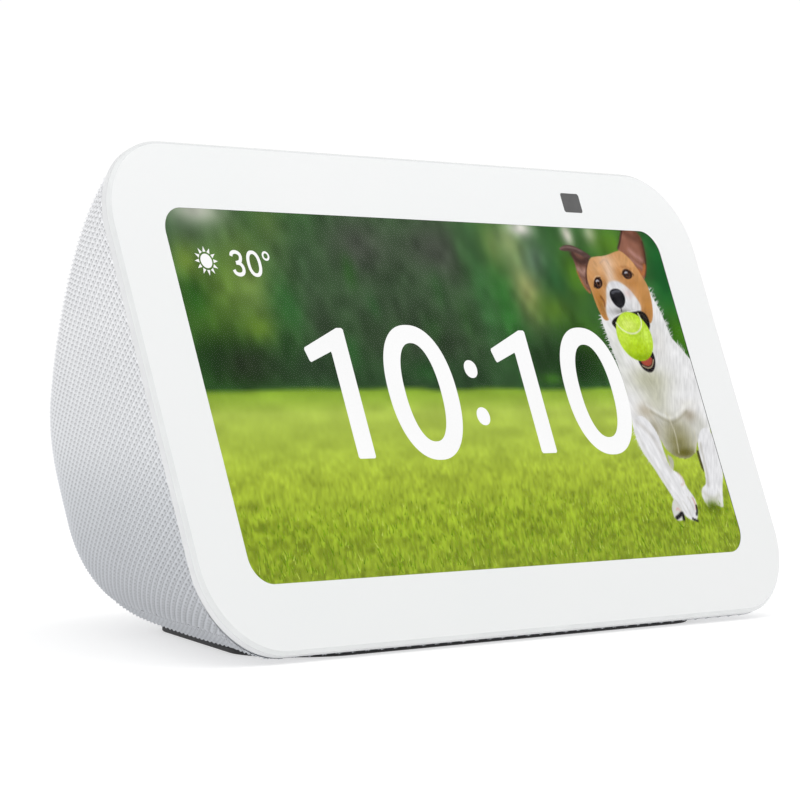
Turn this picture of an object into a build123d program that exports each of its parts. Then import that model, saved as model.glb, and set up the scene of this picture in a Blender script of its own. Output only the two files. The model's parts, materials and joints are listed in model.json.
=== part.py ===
from build123d import *
import math
import os

os.makedirs("parts", exist_ok=True)

# Smart display: a tilted front with a 2:1 screen on a wedge-shaped, cloth-covered body.
# Frame: +X to the viewer's right, the screen looks towards -Y, +Z up, resting on z = 0.
# "Depth" is the distance behind the front surface of the glass, square to it.
# "Height" on a face-parallel plane is measured up the slope from the screen's centre.

# ------------------------------------------------------------------ driving dimensions, mm
TILT = 20.0
SCREEN_CENTRE = (0.0, -31.0, 41.45)

FACE_WIDTH = 147.0
FACE_HEIGHT = 85.3
FACE_MIDDLE = 0.15
FACE_CORNER = 15.0
GLASS = 0.7
GLASS_BEVEL = 0.55
SCREEN_WIDTH = 124.95
SCREEN_HEIGHT = 62.475
SCREEN_CORNER = 4.5

# The body's half width and top fall away with depth by power laws, and its floor is level.
BODY_DEPTH = 80.0
HALF_WIDTH = 73.5
WIDTH_TAPER = 42.84
WIDTH_POWER = 1.194
BODY_TOP = 42.3
TOP_TAPER = 26.26
TOP_POWER = 1.512
BODY_BOTTOM = -43.24
BODY_CORNER = 14.0
CORNER_GROWTH = 0.055
CORNER_SHARE = 0.48
REAR_START = 51.56
REAR_HALF_WIDTH = 19.8
REAR_HALF_HEIGHT = 13.08
REAR_LAST_ANGLE = 84.0
LONG_STATIONS = 12
REAR_STATIONS = 9

SEAM = 1.95
CLOTH = 0.9
CLOTH_GAP = 0.1
WALL = 2.2
HOUSING_SKIN = CLOTH + CLOTH_GAP
HOUSING_INSIDE = HOUSING_SKIN + WALL
INSIDE_FIT = 0.3

FOOT_HEIGHT = 0.8
FOOT_FRONT = -41.5
FOOT_REAR = 18.0
FOOT_FRONT_HALF = 60.6
FOOT_REAR_HALF = 28.5
FOOT_CORNER = 11.5

CAMERA = (40.45, 36.1)
CAMERA_WINDOW = (5.1, 3.75)
CAMERA_WINDOW_CORNER = 0.5
SHUTTER_TRAVEL = 6.0

STRIP_DEPTH = 9.0
STRIP_LENGTH = 99.0
STRIP_WIDTH = 8.2
STRIP_CENTRE = 7.5
STRIP_PLATE = 1.6
STRIP_PROUD = 0.1
BUTTON_LENGTH = 9.0
BUTTON_WIDTH = 5.2
MUTE_X = -26.0
VOLUME_DOWN_X = -11.0
VOLUME_UP_X = 4.0

SPEAKER_HEIGHT = 2.2
BAFFLE_FRONT = 44.0
BAFFLE_BACK = 46.5

INLET_RADIUS = 5.0
INLET_WALL = 1.5
INLET_MOUTH = 78.9
INLET_FLOOR = 74.5
JACK_BORE = 2.85

# ------------------------------------------------------------------ planes and axes
RAKE = math.radians(TILT)
FACE = Plane(SCREEN_CENTRE, x_dir=(1, 0, 0), z_dir=(0, -math.cos(RAKE), math.sin(RAKE)))
INTO_BODY = -FACE.z_dir
FRONT_TO_BACK = Axis(SCREEN_CENTRE, INTO_BODY)
UPWARDS = Axis.Z


def at_depth(depth):
    """Plane parallel to the face: x to the right, y up the slope, normal towards the viewer."""
    return FACE.offset(-depth)


def side_plane(x, height):
    """Upright plane through a point on the face: x runs into the body, y up the slope."""
    origin = FACE.from_local_coords(Vector(x, height, 0))
    return Plane(origin, x_dir=INTO_BODY, z_dir=(1, 0, 0))


# ------------------------------------------------------------------ the body's shape
def body_section(depth, inset):
    """Half width, top and bottom of the body at a depth, with its skin moved in by inset."""
    share = depth / BODY_DEPTH
    half_width = HALF_WIDTH - WIDTH_TAPER * share**WIDTH_POWER - inset
    top = BODY_TOP - TOP_TAPER * share**TOP_POWER - inset
    bottom = BODY_BOTTOM + depth * math.tan(RAKE) + inset
    into_rear = max(0.0, depth - REAR_START) / (BODY_DEPTH - REAR_START - inset)
    rounding = 1 - math.sqrt(max(0.0, 1 - into_rear**2))
    half_width -= (REAR_HALF_WIDTH - inset) * rounding
    top -= (REAR_HALF_HEIGHT - inset) * rounding
    bottom += (REAR_HALF_HEIGHT - inset) * rounding
    return half_width, top, bottom


def station_depths(start, inset):
    """Even stations along the taper, then stations at even angles round the rear edge."""
    step = (REAR_START - start) / LONG_STATIONS
    depths = [start + step * number for number in range(LONG_STATIONS + 1)]
    for number in range(1, REAR_STATIONS + 1):
        angle = math.radians(REAR_LAST_ANGLE * number / REAR_STATIONS)
        depths.append(REAR_START + (BODY_DEPTH - REAR_START - inset) * math.sin(angle))
    return depths


def body_solid(start, inset):
    """The body as one closed solid from a start depth to its round rear."""
    with BuildPart() as solid:
        for depth in station_depths(start, inset):
            half_width, top, bottom = body_section(depth, inset)
            height = top - bottom
            corner = BODY_CORNER + CORNER_GROWTH * depth - inset
            corner = min(corner, CORNER_SHARE * height, CORNER_SHARE * 2 * half_width)
            with BuildSketch(at_depth(depth)):
                with Locations((0, (top + bottom) / 2)):
                    RectangleRounded(2 * half_width, height, corner)
        loft(ruled=True)
    return solid.part


STRIP_TOP = body_section(STRIP_DEPTH, 0)[1]
STRIP_RISE = 0.01
STRIP_SLOPE = math.atan2(STRIP_TOP - body_section(STRIP_DEPTH + STRIP_RISE, 0)[1], STRIP_RISE)
STRIP = Plane(
    FACE.from_local_coords(Vector(0, STRIP_TOP, -STRIP_DEPTH)),
    x_dir=(1, 0, 0),
    z_dir=(0, math.sin(RAKE + STRIP_SLOPE), math.cos(RAKE + STRIP_SLOPE)),
)

REAR_SECTION = body_section(BODY_DEPTH, 0)
INLET_HEIGHT = (REAR_SECTION[1] + REAR_SECTION[2]) / 2


def foot_outline(inset):
    """Round-cornered trapezium, wide at the front, with its edge moved in by inset."""
    with BuildSketch() as outline:
        with BuildLine():
            Polyline(
                (-FOOT_FRONT_HALF, FOOT_FRONT),
                (FOOT_FRONT_HALF, FOOT_FRONT),
                (FOOT_REAR_HALF, FOOT_REAR),
                (-FOOT_REAR_HALF, FOOT_REAR),
                close=True,
            )
        make_face()
        fillet(outline.vertices(), FOOT_CORNER)
        offset(amount=-inset)
    return outline.sketch


SCREW_BREAK = 0.15


def save(piece, name):
    """Label a finished piece and write it as its own file."""
    piece.label = name
    export_step(piece, f"parts/{name}.step")


def make_screws(name, seat, places, head, shank, way=1):
    """Pan-head screws as one group; head and shank are (radius, length), shanks run along way * z."""
    head_radius, head_height = head
    shank_radius, shank_length = shank
    with BuildPart() as screws:
        with BuildSketch(seat):
            with Locations(*places):
                Circle(head_radius)
        extrude(amount=-way * head_height)
        chamfer(screws.edges(), SCREW_BREAK)
        with BuildSketch(seat):
            with Locations(*places):
                Circle(shank_radius)
        extrude(amount=way * shank_length)
        with BuildSketch(seat.offset(-way * head_height)):
            with Locations(*places):
                RegularPolygon(head_radius / 2, 6)
        extrude(amount=way * head_height / 2, mode=Mode.SUBTRACT)
    save(screws.part, name)


# ------------------------------------------------------------------ front glass and border
with BuildPart() as cover_glass:
    with BuildSketch(at_depth(GLASS)):
        with Locations((0, FACE_MIDDLE)):
            RectangleRounded(FACE_WIDTH, FACE_HEIGHT, FACE_CORNER)
    extrude(amount=GLASS)
    chamfer(cover_glass.faces().sort_by(FRONT_TO_BACK)[0].edges(), GLASS_BEVEL)
save(cover_glass.part, "cover_glass")

PRINT = 0.1
PRINT_MARGIN = 1.3
with BuildPart() as border_print:
    with BuildSketch(at_depth(GLASS + PRINT)):
        with Locations((0, FACE_MIDDLE)):
            RectangleRounded(
                FACE_WIDTH - 2 * PRINT_MARGIN,
                FACE_HEIGHT - 2 * PRINT_MARGIN,
                FACE_CORNER - PRINT_MARGIN,
            )
        RectangleRounded(SCREEN_WIDTH, SCREEN_HEIGHT, SCREEN_CORNER, mode=Mode.SUBTRACT)
        with Locations(CAMERA):
            RectangleRounded(*CAMERA_WINDOW, CAMERA_WINDOW_CORNER, mode=Mode.SUBTRACT)
    extrude(amount=PRINT)
save(border_print.part, "border_print")

# ------------------------------------------------------------------ display stack
PANEL_WIDTH = 128.0
PANEL_TOP = 32.5
PANEL_BOTTOM = -35.2
PANEL_FRONT = 0.85
PANEL_BACK = 2.15
GUIDE_FRONT = 2.25
GUIDE_BACK = 3.25
TRAY_BACK = 3.8
TRAY_WALL = 0.4
TRAY_FIT = 0.1
GUIDE_FIT = 1.2
PANEL_CORNER = 1.0
PANEL_HEIGHT = PANEL_TOP - PANEL_BOTTOM
PANEL_MIDDLE = (PANEL_TOP + PANEL_BOTTOM) / 2

with BuildPart() as display_panel:
    with BuildSketch(at_depth(PANEL_BACK)):
        with Locations((0, PANEL_MIDDLE)):
            RectangleRounded(PANEL_WIDTH, PANEL_HEIGHT, PANEL_CORNER)
    extrude(amount=PANEL_BACK - PANEL_FRONT)
save(display_panel.part, "display_panel")

with BuildPart() as light_guide:
    with BuildSketch(at_depth(GUIDE_BACK)):
        with Locations((0, PANEL_MIDDLE)):
            RectangleRounded(PANEL_WIDTH - GUIDE_FIT, PANEL_HEIGHT - GUIDE_FIT, PANEL_CORNER)
    extrude(amount=GUIDE_BACK - GUIDE_FRONT)
save(light_guide.part, "light_guide")

with BuildPart() as backlight_tray:
    with BuildSketch(at_depth(TRAY_BACK)):
        with Locations((0, PANEL_MIDDLE)):
            RectangleRounded(PANEL_WIDTH, PANEL_HEIGHT, PANEL_CORNER)
    extrude(amount=TRAY_BACK - GUIDE_FRONT)
    with BuildSketch(at_depth(GUIDE_BACK + TRAY_FIT)):
        with Locations((0, PANEL_MIDDLE)):
            RectangleRounded(
                PANEL_WIDTH - 2 * TRAY_WALL, PANEL_HEIGHT - 2 * TRAY_WALL, PANEL_CORNER
            )
    extrude(amount=GUIDE_BACK - GUIDE_FRONT + TRAY_FIT, mode=Mode.SUBTRACT)
save(backlight_tray.part, "backlight_tray")

# ------------------------------------------------------------------ front frame
GLASS_GAP = 0.02
BAND_FRONT = GLASS + GLASS_GAP
BAND_BACK = 1.75
LEDGE = 0.9
LIP = 1.2
RIM_BACK = 4.6
RIM_WIDTH = 136.4
RIM_TOP = 38.2
RIM_BOTTOM = -36.9
OPENING_GAP = 0.3
FRAME_SCREW_SPREAD = 66.3
FRAME_SCREW_HEIGHTS = (-20.0, 2.0, 22.0)
FRAME_SCREWS = [(side * FRAME_SCREW_SPREAD, height) for side in (-1, 1) for height in FRAME_SCREW_HEIGHTS]
SCREW_HOLE_FLOOR = 0.4
OPENING_CORNER = 1.2
SCREW_HOLE = 0.75
SHUTTER_WINDOW = (37.1, 53.3, 33.9, 38.9)
MODULE_POCKET = (37.1, 43.8, 33.3, 39.0)
STEM_POCKET = (43.5, 53.3, 36.2, 39.0)


def cut_box(bounds, front, back):
    """Cut a face-parallel box (left, right, low, high) from the part being built."""
    left, right, low, high = bounds
    with BuildSketch(at_depth(back)) as box:
        with Locations(((left + right) / 2, (low + high) / 2)):
            Rectangle(right - left, high - low)
    extrude(box.sketch, amount=back - front, mode=Mode.SUBTRACT)


with BuildPart() as front_frame:
    with BuildSketch(at_depth(BAND_BACK)):
        with Locations((0, FACE_MIDDLE)):
            RectangleRounded(FACE_WIDTH, FACE_HEIGHT, FACE_CORNER)
    extrude(amount=BAND_BACK - BAND_FRONT)
    with BuildSketch(at_depth(RIM_BACK)):
        with Locations((0, (RIM_TOP + RIM_BOTTOM) / 2)):
            RectangleRounded(RIM_WIDTH, RIM_TOP - RIM_BOTTOM, BODY_CORNER - HOUSING_INSIDE)
    extrude(amount=RIM_BACK - BAND_BACK)
    with BuildSketch(at_depth(LEDGE)):
        with Locations((0, FACE_MIDDLE)):
            RectangleRounded(FACE_WIDTH - 2 * LIP, FACE_HEIGHT - 2 * LIP, FACE_CORNER - LIP)
    extrude(amount=LEDGE - BAND_FRONT, mode=Mode.SUBTRACT)
    with BuildSketch(at_depth(RIM_BACK)):
        with Locations((0, PANEL_MIDDLE)):
            RectangleRounded(
                PANEL_WIDTH + 2 * OPENING_GAP, PANEL_HEIGHT + 2 * OPENING_GAP, OPENING_CORNER
            )
    extrude(amount=RIM_BACK - BAND_FRONT, mode=Mode.SUBTRACT)
    cut_box(SHUTTER_WINDOW, LEDGE, BAND_BACK)
    cut_box(MODULE_POCKET, BAND_BACK, RIM_BACK)
    cut_box(STEM_POCKET, BAND_BACK, RIM_BACK)
    with BuildSketch(at_depth(RIM_BACK)):
        with Locations(*FRAME_SCREWS):
            Circle(SCREW_HOLE)
    extrude(amount=RIM_BACK - BAND_BACK - SCREW_HOLE_FLOOR, mode=Mode.SUBTRACT)
save(front_frame.part, "front_frame")

ADHESIVE_SIDE = 1.2
ADHESIVE_END = 0.4
ADHESIVE_CORNER = 1.6
ADHESIVE_GAP = (45.2, 36.4)
ADHESIVE_GAP_SIZE = (16.8, 7.0)

with BuildPart() as glass_adhesive:
    with BuildSketch(at_depth(LEDGE)):
        with Locations((0, FACE_MIDDLE)):
            RectangleRounded(FACE_WIDTH - 4 * LIP, FACE_HEIGHT - 4 * LIP, FACE_CORNER - 2 * LIP)
        with Locations((0, PANEL_MIDDLE)):
            RectangleRounded(
                PANEL_WIDTH + 2 * ADHESIVE_SIDE,
                PANEL_HEIGHT + 2 * ADHESIVE_END,
                ADHESIVE_CORNER,
                mode=Mode.SUBTRACT,
            )
        with Locations(ADHESIVE_GAP):
            Rectangle(*ADHESIVE_GAP_SIZE, mode=Mode.SUBTRACT)
    extrude(amount=LEDGE - GLASS - PRINT)
save(glass_adhesive.part, "glass_adhesive")

# ------------------------------------------------------------------ mid frame and its screws
MID_FRONT = 4.7
MID_BACK = 5.9
MID_WIDTH = 134.8
MID_TOP = 33.2
MID_BOTTOM = -35.9
MID_CORNER = 8.0
POST_RADIUS = 2.4
BOARD_FRONT = 10.0
BOARD_BACK = 11.2
BOARD_POST_SPREAD = 46.0
BOARD_POST_HEIGHT = 22.0
BOARD_POSTS = [(x * BOARD_POST_SPREAD, y * BOARD_POST_HEIGHT) for x in (-1, 1) for y in (-1, 1)]
RIBBON_SLOT = (-11.0, 11.0, -32.2, -29.8)

with BuildPart() as mid_frame:
    with BuildSketch(at_depth(MID_BACK)):
        with Locations((0, (MID_TOP + MID_BOTTOM) / 2)):
            RectangleRounded(MID_WIDTH, MID_TOP - MID_BOTTOM, MID_CORNER)
    extrude(amount=MID_BACK - MID_FRONT)
    with BuildSketch(at_depth(BOARD_FRONT)):
        with Locations(*BOARD_POSTS):
            Circle(POST_RADIUS)
    extrude(amount=BOARD_FRONT - MID_BACK)
    with BuildSketch(at_depth(BOARD_FRONT)):
        with Locations(*BOARD_POSTS):
            Circle(SCREW_HOLE)
    extrude(amount=BOARD_FRONT - MID_BACK, mode=Mode.SUBTRACT)
    with BuildSketch(at_depth(MID_BACK)):
        with Locations(*FRAME_SCREWS):
            Circle(SCREW_HOLE)
    extrude(amount=MID_BACK - MID_FRONT, mode=Mode.SUBTRACT)
    cut_box(RIBBON_SLOT, MID_FRONT, MID_BACK)
save(mid_frame.part, "mid_frame")

FRAME_SCREW_HEAD = (1.2, 0.7)
FRAME_SCREW_SHANK = (0.7, 3.2)
make_screws("frame_screws", at_depth(MID_BACK), FRAME_SCREWS, FRAME_SCREW_HEAD, FRAME_SCREW_SHANK)

# ------------------------------------------------------------------ main board
BOARD_WIDTH = 100.0
BOARD_HEIGHT = 52.0
BOARD_CORNER = 2.0
BOARD_HOLE = 0.8
BOARD_SCREW_HEAD = (1.4, 0.9)
BOARD_SCREW_SHANK = (0.7, 4.6)

with BuildPart() as main_board:
    with BuildSketch(at_depth(BOARD_BACK)):
        RectangleRounded(BOARD_WIDTH, BOARD_HEIGHT, BOARD_CORNER)
        with Locations(*BOARD_POSTS):
            Circle(BOARD_HOLE, mode=Mode.SUBTRACT)
    extrude(amount=BOARD_BACK - BOARD_FRONT)
save(main_board.part, "main_board")

make_screws("board_screws", at_depth(BOARD_BACK), BOARD_POSTS, BOARD_SCREW_HEAD, BOARD_SCREW_SHANK)

CHIP_PLACES = {(-8.0, 4.0): (14, 14), (8.0, 6.0): (10, 9), (8.0, -6.0): (11, 9)}
CHIP_HEIGHT = 1.2
SMALL_CHIP = 5.0
SMALL_CHIPS = [(26.0, 14.0), (34.0, 4.0), (-30.0, 14.0), (-32.0, 2.0), (26.0, 0.0)]
with BuildPart() as main_chips:
    with BuildSketch(at_depth(BOARD_BACK)):
        for place, size in CHIP_PLACES.items():
            with Locations(place):
                Rectangle(*size)
        with Locations(*SMALL_CHIPS):
            Rectangle(SMALL_CHIP, SMALL_CHIP)
    extrude(amount=-CHIP_HEIGHT)
save(main_chips.part, "main_chips")

CAN_WIDTH = 40.0
CAN_HEIGHT = 28.0
CAN_BACK = 13.6
CAN_SHEET = 0.3
CAN_CORNER = 1.5
with BuildPart() as shield_can:
    with BuildSketch(at_depth(CAN_BACK)):
        RectangleRounded(CAN_WIDTH, CAN_HEIGHT, CAN_CORNER)
    extrude(amount=CAN_BACK - BOARD_BACK)
    with BuildSketch(at_depth(CAN_BACK - CAN_SHEET)):
        RectangleRounded(
            CAN_WIDTH - 2 * CAN_SHEET, CAN_HEIGHT - 2 * CAN_SHEET, CAN_CORNER - CAN_SHEET
        )
    extrude(amount=CAN_BACK - CAN_SHEET - BOARD_BACK, mode=Mode.SUBTRACT)
save(shield_can.part, "shield_can")

PAD_BACK = 14.4
PAD_SIZE = (30.0, 20.0)
PAD_CORNER = 1.0
with BuildPart() as thermal_pad:
    with BuildSketch(at_depth(PAD_BACK)):
        RectangleRounded(*PAD_SIZE, PAD_CORNER)
    extrude(amount=PAD_BACK - CAN_BACK)
save(thermal_pad.part, "thermal_pad")

SINK_BACK = 15.9
FIN_BACK = 20.0
SINK_SIZE = (52.0, 34.0)
SINK_CORNER = 1.5
FIN_PITCH = 5.0
FIN_COUNT = 10
FIN_SIZE = (1.2, 30.0)
with BuildPart() as heat_sink:
    with BuildSketch(at_depth(SINK_BACK)):
        RectangleRounded(*SINK_SIZE, SINK_CORNER)
    extrude(amount=SINK_BACK - PAD_BACK)
    with BuildSketch(at_depth(FIN_BACK)):
        with GridLocations(FIN_PITCH, 0, FIN_COUNT, 1):
            Rectangle(*FIN_SIZE)
    extrude(amount=FIN_BACK - SINK_BACK)
save(heat_sink.part, "heat_sink")

ANTENNA_SHEET = 0.5
ANTENNA_SIZE = (20.0, 5.0)
ANTENNA_CORNER = 0.8
ANTENNAS = [(-52.0, 29.5), (24.0, 30.0)]
with BuildPart() as wifi_antennas:
    with BuildSketch(at_depth(MID_BACK + ANTENNA_SHEET)):
        with Locations(*ANTENNAS):
            RectangleRounded(*ANTENNA_SIZE, ANTENNA_CORNER)
    extrude(amount=ANTENNA_SHEET)
save(wifi_antennas.part, "wifi_antennas")

# ------------------------------------------------------------------ camera and its shutter
MODULE_WIDTH = 6.0
MODULE_LOW = 33.5
MODULE_HIGH = 38.5
MODULE_FRONT = 2.5
MODULE_BACK = 6.2
LENS_FRONT = 1.9
BARREL_FRONT = 1.8
BARREL_RADIUS = 2.3
LENS_RADIUS = 1.75
LENS_DEEP = 0.9
LENS_ROUND = 0.5
BARREL_DEEP = 1.0
LENS_FIT = 0.02
MODULE_MIDDLE = (MODULE_LOW + MODULE_HIGH) / 2

with BuildPart() as camera_module:
    with BuildSketch(at_depth(MODULE_BACK)):
        with Locations((CAMERA[0], MODULE_MIDDLE)):
            Rectangle(MODULE_WIDTH, MODULE_HIGH - MODULE_LOW)
    extrude(amount=MODULE_BACK - MODULE_FRONT)
    with BuildSketch(at_depth(MODULE_FRONT)):
        with Locations((CAMERA[0], MODULE_MIDDLE)):
            Circle(BARREL_RADIUS)
    extrude(amount=MODULE_FRONT - BARREL_FRONT)
    with BuildSketch(at_depth(MODULE_FRONT + BARREL_DEEP)):
        with Locations((CAMERA[0], MODULE_MIDDLE)):
            Circle(LENS_RADIUS + LENS_FIT)
    extrude(amount=MODULE_FRONT + BARREL_DEEP - BARREL_FRONT, mode=Mode.SUBTRACT)
save(camera_module.part, "camera_module")

with BuildPart() as camera_lens:
    with BuildSketch(at_depth(MODULE_FRONT + LENS_DEEP)):
        with Locations((CAMERA[0], MODULE_MIDDLE)):
            Circle(LENS_RADIUS)
    extrude(amount=MODULE_FRONT + LENS_DEEP - LENS_FRONT)
    fillet(camera_lens.faces().sort_by(FRONT_TO_BACK)[0].edges(), LENS_ROUND)
save(camera_lens.part, "camera_lens")

CAMERA_BOARD_BACK = 6.8
with BuildPart() as camera_board:
    with BuildSketch(at_depth(CAMERA_BOARD_BACK)):
        with Locations((CAMERA[0], MODULE_MIDDLE)):
            Rectangle(MODULE_WIDTH, MODULE_HIGH - MODULE_LOW)
    extrude(amount=CAMERA_BOARD_BACK - MODULE_BACK)
save(camera_board.part, "camera_board")

# The shutter is one moulding: a blade before the lens, a stem over the mid frame, a knob on top.
BLADE_LEFT = 43.7
BLADE_LOW = 34.15
BLADE_HIGH = 38.2
BLADE_FRONT = 1.15
BLADE_SHEET = 0.3
STEM_LEFT = 50.1
STEM_RIGHT = 52.5
STEM_LOW = 36.6
STEM_HIGH = 38.0
RISER_WIDTH = 2.2
KNOB_LENGTH = 6.6
KNOB_WIDTH = 3.6
KNOB_GAP = 0.3
KNOB_HEIGHT = 1.0
KNOB_ROUND = 0.35
KNOB_GRIP_PITCH = 1.2
KNOB_GRIP = (0.4, 0.2)
STEM_LAP = 0.8
STEM_MIDDLE = (STEM_LEFT + STEM_RIGHT) / 2
RISER_BACK = STRIP_DEPTH + RISER_WIDTH / 2

with BuildPart() as camera_shutter:
    with BuildSketch(at_depth(BLADE_FRONT + BLADE_SHEET)):
        with Locations(((BLADE_LEFT + STEM_RIGHT) / 2, (BLADE_LOW + BLADE_HIGH) / 2)):
            Rectangle(STEM_RIGHT - BLADE_LEFT, BLADE_HIGH - BLADE_LOW)
    extrude(amount=BLADE_SHEET)
    with BuildSketch(at_depth(RISER_BACK)):
        with Locations((STEM_MIDDLE, (STEM_LOW + STEM_HIGH) / 2)):
            Rectangle(STEM_RIGHT - STEM_LEFT, STEM_HIGH - STEM_LOW)
    extrude(amount=RISER_BACK - BLADE_FRONT)
    with BuildSketch(STRIP.offset(STRIP_PROUD + KNOB_GAP + KNOB_HEIGHT)):
        with Locations((STEM_MIDDLE, 0)):
            SlotOverall(KNOB_LENGTH, KNOB_WIDTH)
    extrude(amount=-KNOB_HEIGHT)
    with BuildSketch(STRIP.offset(STRIP_PROUD + KNOB_GAP)):
        with Locations((STEM_MIDDLE, 0)):
            Rectangle(STEM_RIGHT - STEM_LEFT, RISER_WIDTH)
    extrude(amount=STEM_HIGH - STRIP_TOP - KNOB_GAP - STEM_LAP)
    knob_top = camera_shutter.faces().filter_by(STRIP).sort_by(Axis(STRIP.origin, STRIP.z_dir))[-1]
    fillet(knob_top.edges(), KNOB_ROUND)
    with BuildSketch(STRIP.offset(STRIP_PROUD + KNOB_GAP + KNOB_HEIGHT)):
        with GridLocations(KNOB_GRIP_PITCH, 0, 3, 1):
            with Locations((STEM_MIDDLE, 0)):
                Rectangle(KNOB_GRIP[0], KNOB_WIDTH)
    extrude(amount=-KNOB_GRIP[1], mode=Mode.SUBTRACT)
save(camera_shutter.part, "camera_shutter")

# ------------------------------------------------------------------ control strip and buttons
STRIP_BOTTOM = -STRIP_PLATE
BUTTONS = {
    "mute_button": MUTE_X,
    "volume_down_button": VOLUME_DOWN_X,
    "volume_up_button": VOLUME_UP_X,
}
BUTTON_GAP = 0.3
BUTTON_PROUD = 0.55
CAP_BOTTOM = -1.9
FLANGE_BOTTOM = -2.5
STEM_BOTTOM = -3.5
SWITCH_TOP = -4.45
SWITCH_BOARD_TOP = -5.6
SWITCH_BOARD_BOTTOM = -6.6
BOSSES = [(-18.5, 0), (12.0, 0)]
MICROPHONES = [(-37.0, 0), (18.5, 0)]
MICROPHONE_HOLE = 0.5
MICROPHONE_SIZE = (3.5, 2.6, 0.3)
MICROPHONE_HEIGHT = 1.0
STRIP_ROUND = 0.3
CAP_ROUND = 0.4
FLANGE_WIDER = 1.0
BUTTON_STEM = 1.0
BOSS_RADIUS = 1.4
BOSS_HOLE = 0.65
SWITCH_BOARD_MIDDLE = -8.5
SWITCH_BOARD_SIZE = (63.0, 5.4, 1.0)
SWITCH_BOARD_HOLE = 0.7
SWITCH_SIZE = (4.0, 3.6, 0.4)
STRIP_SCREW_HEAD = (1.3, 0.7)
STRIP_SCREW_SHANK = (0.6, 3.6)
SLOT_RUN = SHUTTER_TRAVEL + (STEM_RIGHT - STEM_LEFT) + 2 * BUTTON_GAP
SLOT_MIDDLE = STEM_MIDDLE - SHUTTER_TRAVEL / 2

with BuildPart() as control_strip:
    with BuildSketch(STRIP.offset(STRIP_BOTTOM)):
        with Locations((STRIP_CENTRE, 0)):
            SlotOverall(STRIP_LENGTH, STRIP_WIDTH)
    extrude(amount=STRIP_PLATE + STRIP_PROUD)
    strip_top = control_strip.faces().filter_by(STRIP).sort_by(Axis(STRIP.origin, STRIP.z_dir))[-1]
    fillet(strip_top.edges(), STRIP_ROUND)
    with BuildSketch(STRIP.offset(STRIP_PROUD)):
        with Locations(*[(x, 0) for x in BUTTONS.values()]):
            SlotOverall(BUTTON_LENGTH + 2 * BUTTON_GAP, BUTTON_WIDTH + 2 * BUTTON_GAP)
        with Locations((SLOT_MIDDLE, 0)):
            Rectangle(SLOT_RUN, RISER_WIDTH + 2 * BUTTON_GAP)
        with Locations(*MICROPHONES):
            Circle(MICROPHONE_HOLE)
    extrude(amount=-STRIP_PLATE - STRIP_PROUD, mode=Mode.SUBTRACT)
    with BuildSketch(STRIP.offset(SWITCH_BOARD_TOP)):
        with Locations(*BOSSES):
            Circle(BOSS_RADIUS)
            Circle(BOSS_HOLE, mode=Mode.SUBTRACT)
    extrude(amount=STRIP_BOTTOM - SWITCH_BOARD_TOP)
save(control_strip.part, "control_strip")

for name, x in BUTTONS.items():
    with BuildPart() as button:
        with BuildSketch(STRIP.offset(CAP_BOTTOM)):
            with Locations((x, 0)):
                SlotOverall(BUTTON_LENGTH, BUTTON_WIDTH)
        extrude(amount=BUTTON_PROUD - CAP_BOTTOM)
        cap_top = button.faces().filter_by(STRIP).sort_by(Axis(STRIP.origin, STRIP.z_dir))[-1]
        fillet(cap_top.edges(), CAP_ROUND)
        with BuildSketch(STRIP.offset(FLANGE_BOTTOM)):
            with Locations((x, 0)):
                SlotOverall(BUTTON_LENGTH + FLANGE_WIDER, BUTTON_WIDTH + FLANGE_WIDER)
        extrude(amount=CAP_BOTTOM - FLANGE_BOTTOM)
        with BuildSketch(STRIP.offset(STEM_BOTTOM)):
            with Locations((x, 0)):
                Circle(BUTTON_STEM)
        extrude(amount=FLANGE_BOTTOM - STEM_BOTTOM)
    save(button.part, name)

with BuildPart() as switch_board:
    with BuildSketch(STRIP.offset(SWITCH_BOARD_BOTTOM)):
        with Locations((SWITCH_BOARD_MIDDLE, 0)):
            RectangleRounded(*SWITCH_BOARD_SIZE)
        with Locations(*BOSSES):
            Circle(SWITCH_BOARD_HOLE, mode=Mode.SUBTRACT)
    extrude(amount=SWITCH_BOARD_TOP - SWITCH_BOARD_BOTTOM)
save(switch_board.part, "switch_board")

with BuildPart() as push_switches:
    with BuildSketch(STRIP.offset(SWITCH_BOARD_TOP)):
        with Locations(*[(x, 0) for x in BUTTONS.values()]):
            RectangleRounded(*SWITCH_SIZE)
    extrude(amount=SWITCH_TOP - SWITCH_BOARD_TOP)
save(push_switches.part, "push_switches")

with BuildPart() as microphones:
    with BuildSketch(STRIP.offset(SWITCH_BOARD_TOP)):
        with Locations(*MICROPHONES):
            RectangleRounded(*MICROPHONE_SIZE)
    extrude(amount=MICROPHONE_HEIGHT)
save(microphones.part, "microphones")

make_screws(
    "strip_screws", STRIP.offset(SWITCH_BOARD_BOTTOM), BOSSES, STRIP_SCREW_HEAD, STRIP_SCREW_SHANK
)

# ------------------------------------------------------------------ ribbons
RIBBON = 0.3
RIBBON_BEND = 1.2
DISPLAY_RIBBON = (0.0, 18.0)
DISPLAY_RIBBON_ROUTE = [(TRAY_BACK + 0.05, -31.0), (8.2, -31.0), (9.8, -24.5)]
CAMERA_RIBBON = (CAMERA[0], 4.0)
CAMERA_RIBBON_ROUTE = [(CAMERA_BOARD_BACK + 0.2, 36.0), (9.0, 33.0), (9.8, 24.0)]


def ribbon(name, x, width, points):
    """Flat ribbon cable along a bent line of (depth, height) points."""
    with BuildPart() as cable:
        with BuildLine(side_plane(x, 0)) as route:
            FilletPolyline(*points, radius=RIBBON_BEND)
        with BuildSketch(Plane(route.line @ 0, x_dir=(1, 0, 0), z_dir=route.line % 0)):
            Rectangle(width, RIBBON)
        sweep()
    save(cable.part, name)


ribbon("display_ribbon", *DISPLAY_RIBBON, DISPLAY_RIBBON_ROUTE)
ribbon("camera_ribbon", *CAMERA_RIBBON, CAMERA_RIBBON_ROUTE)

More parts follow.
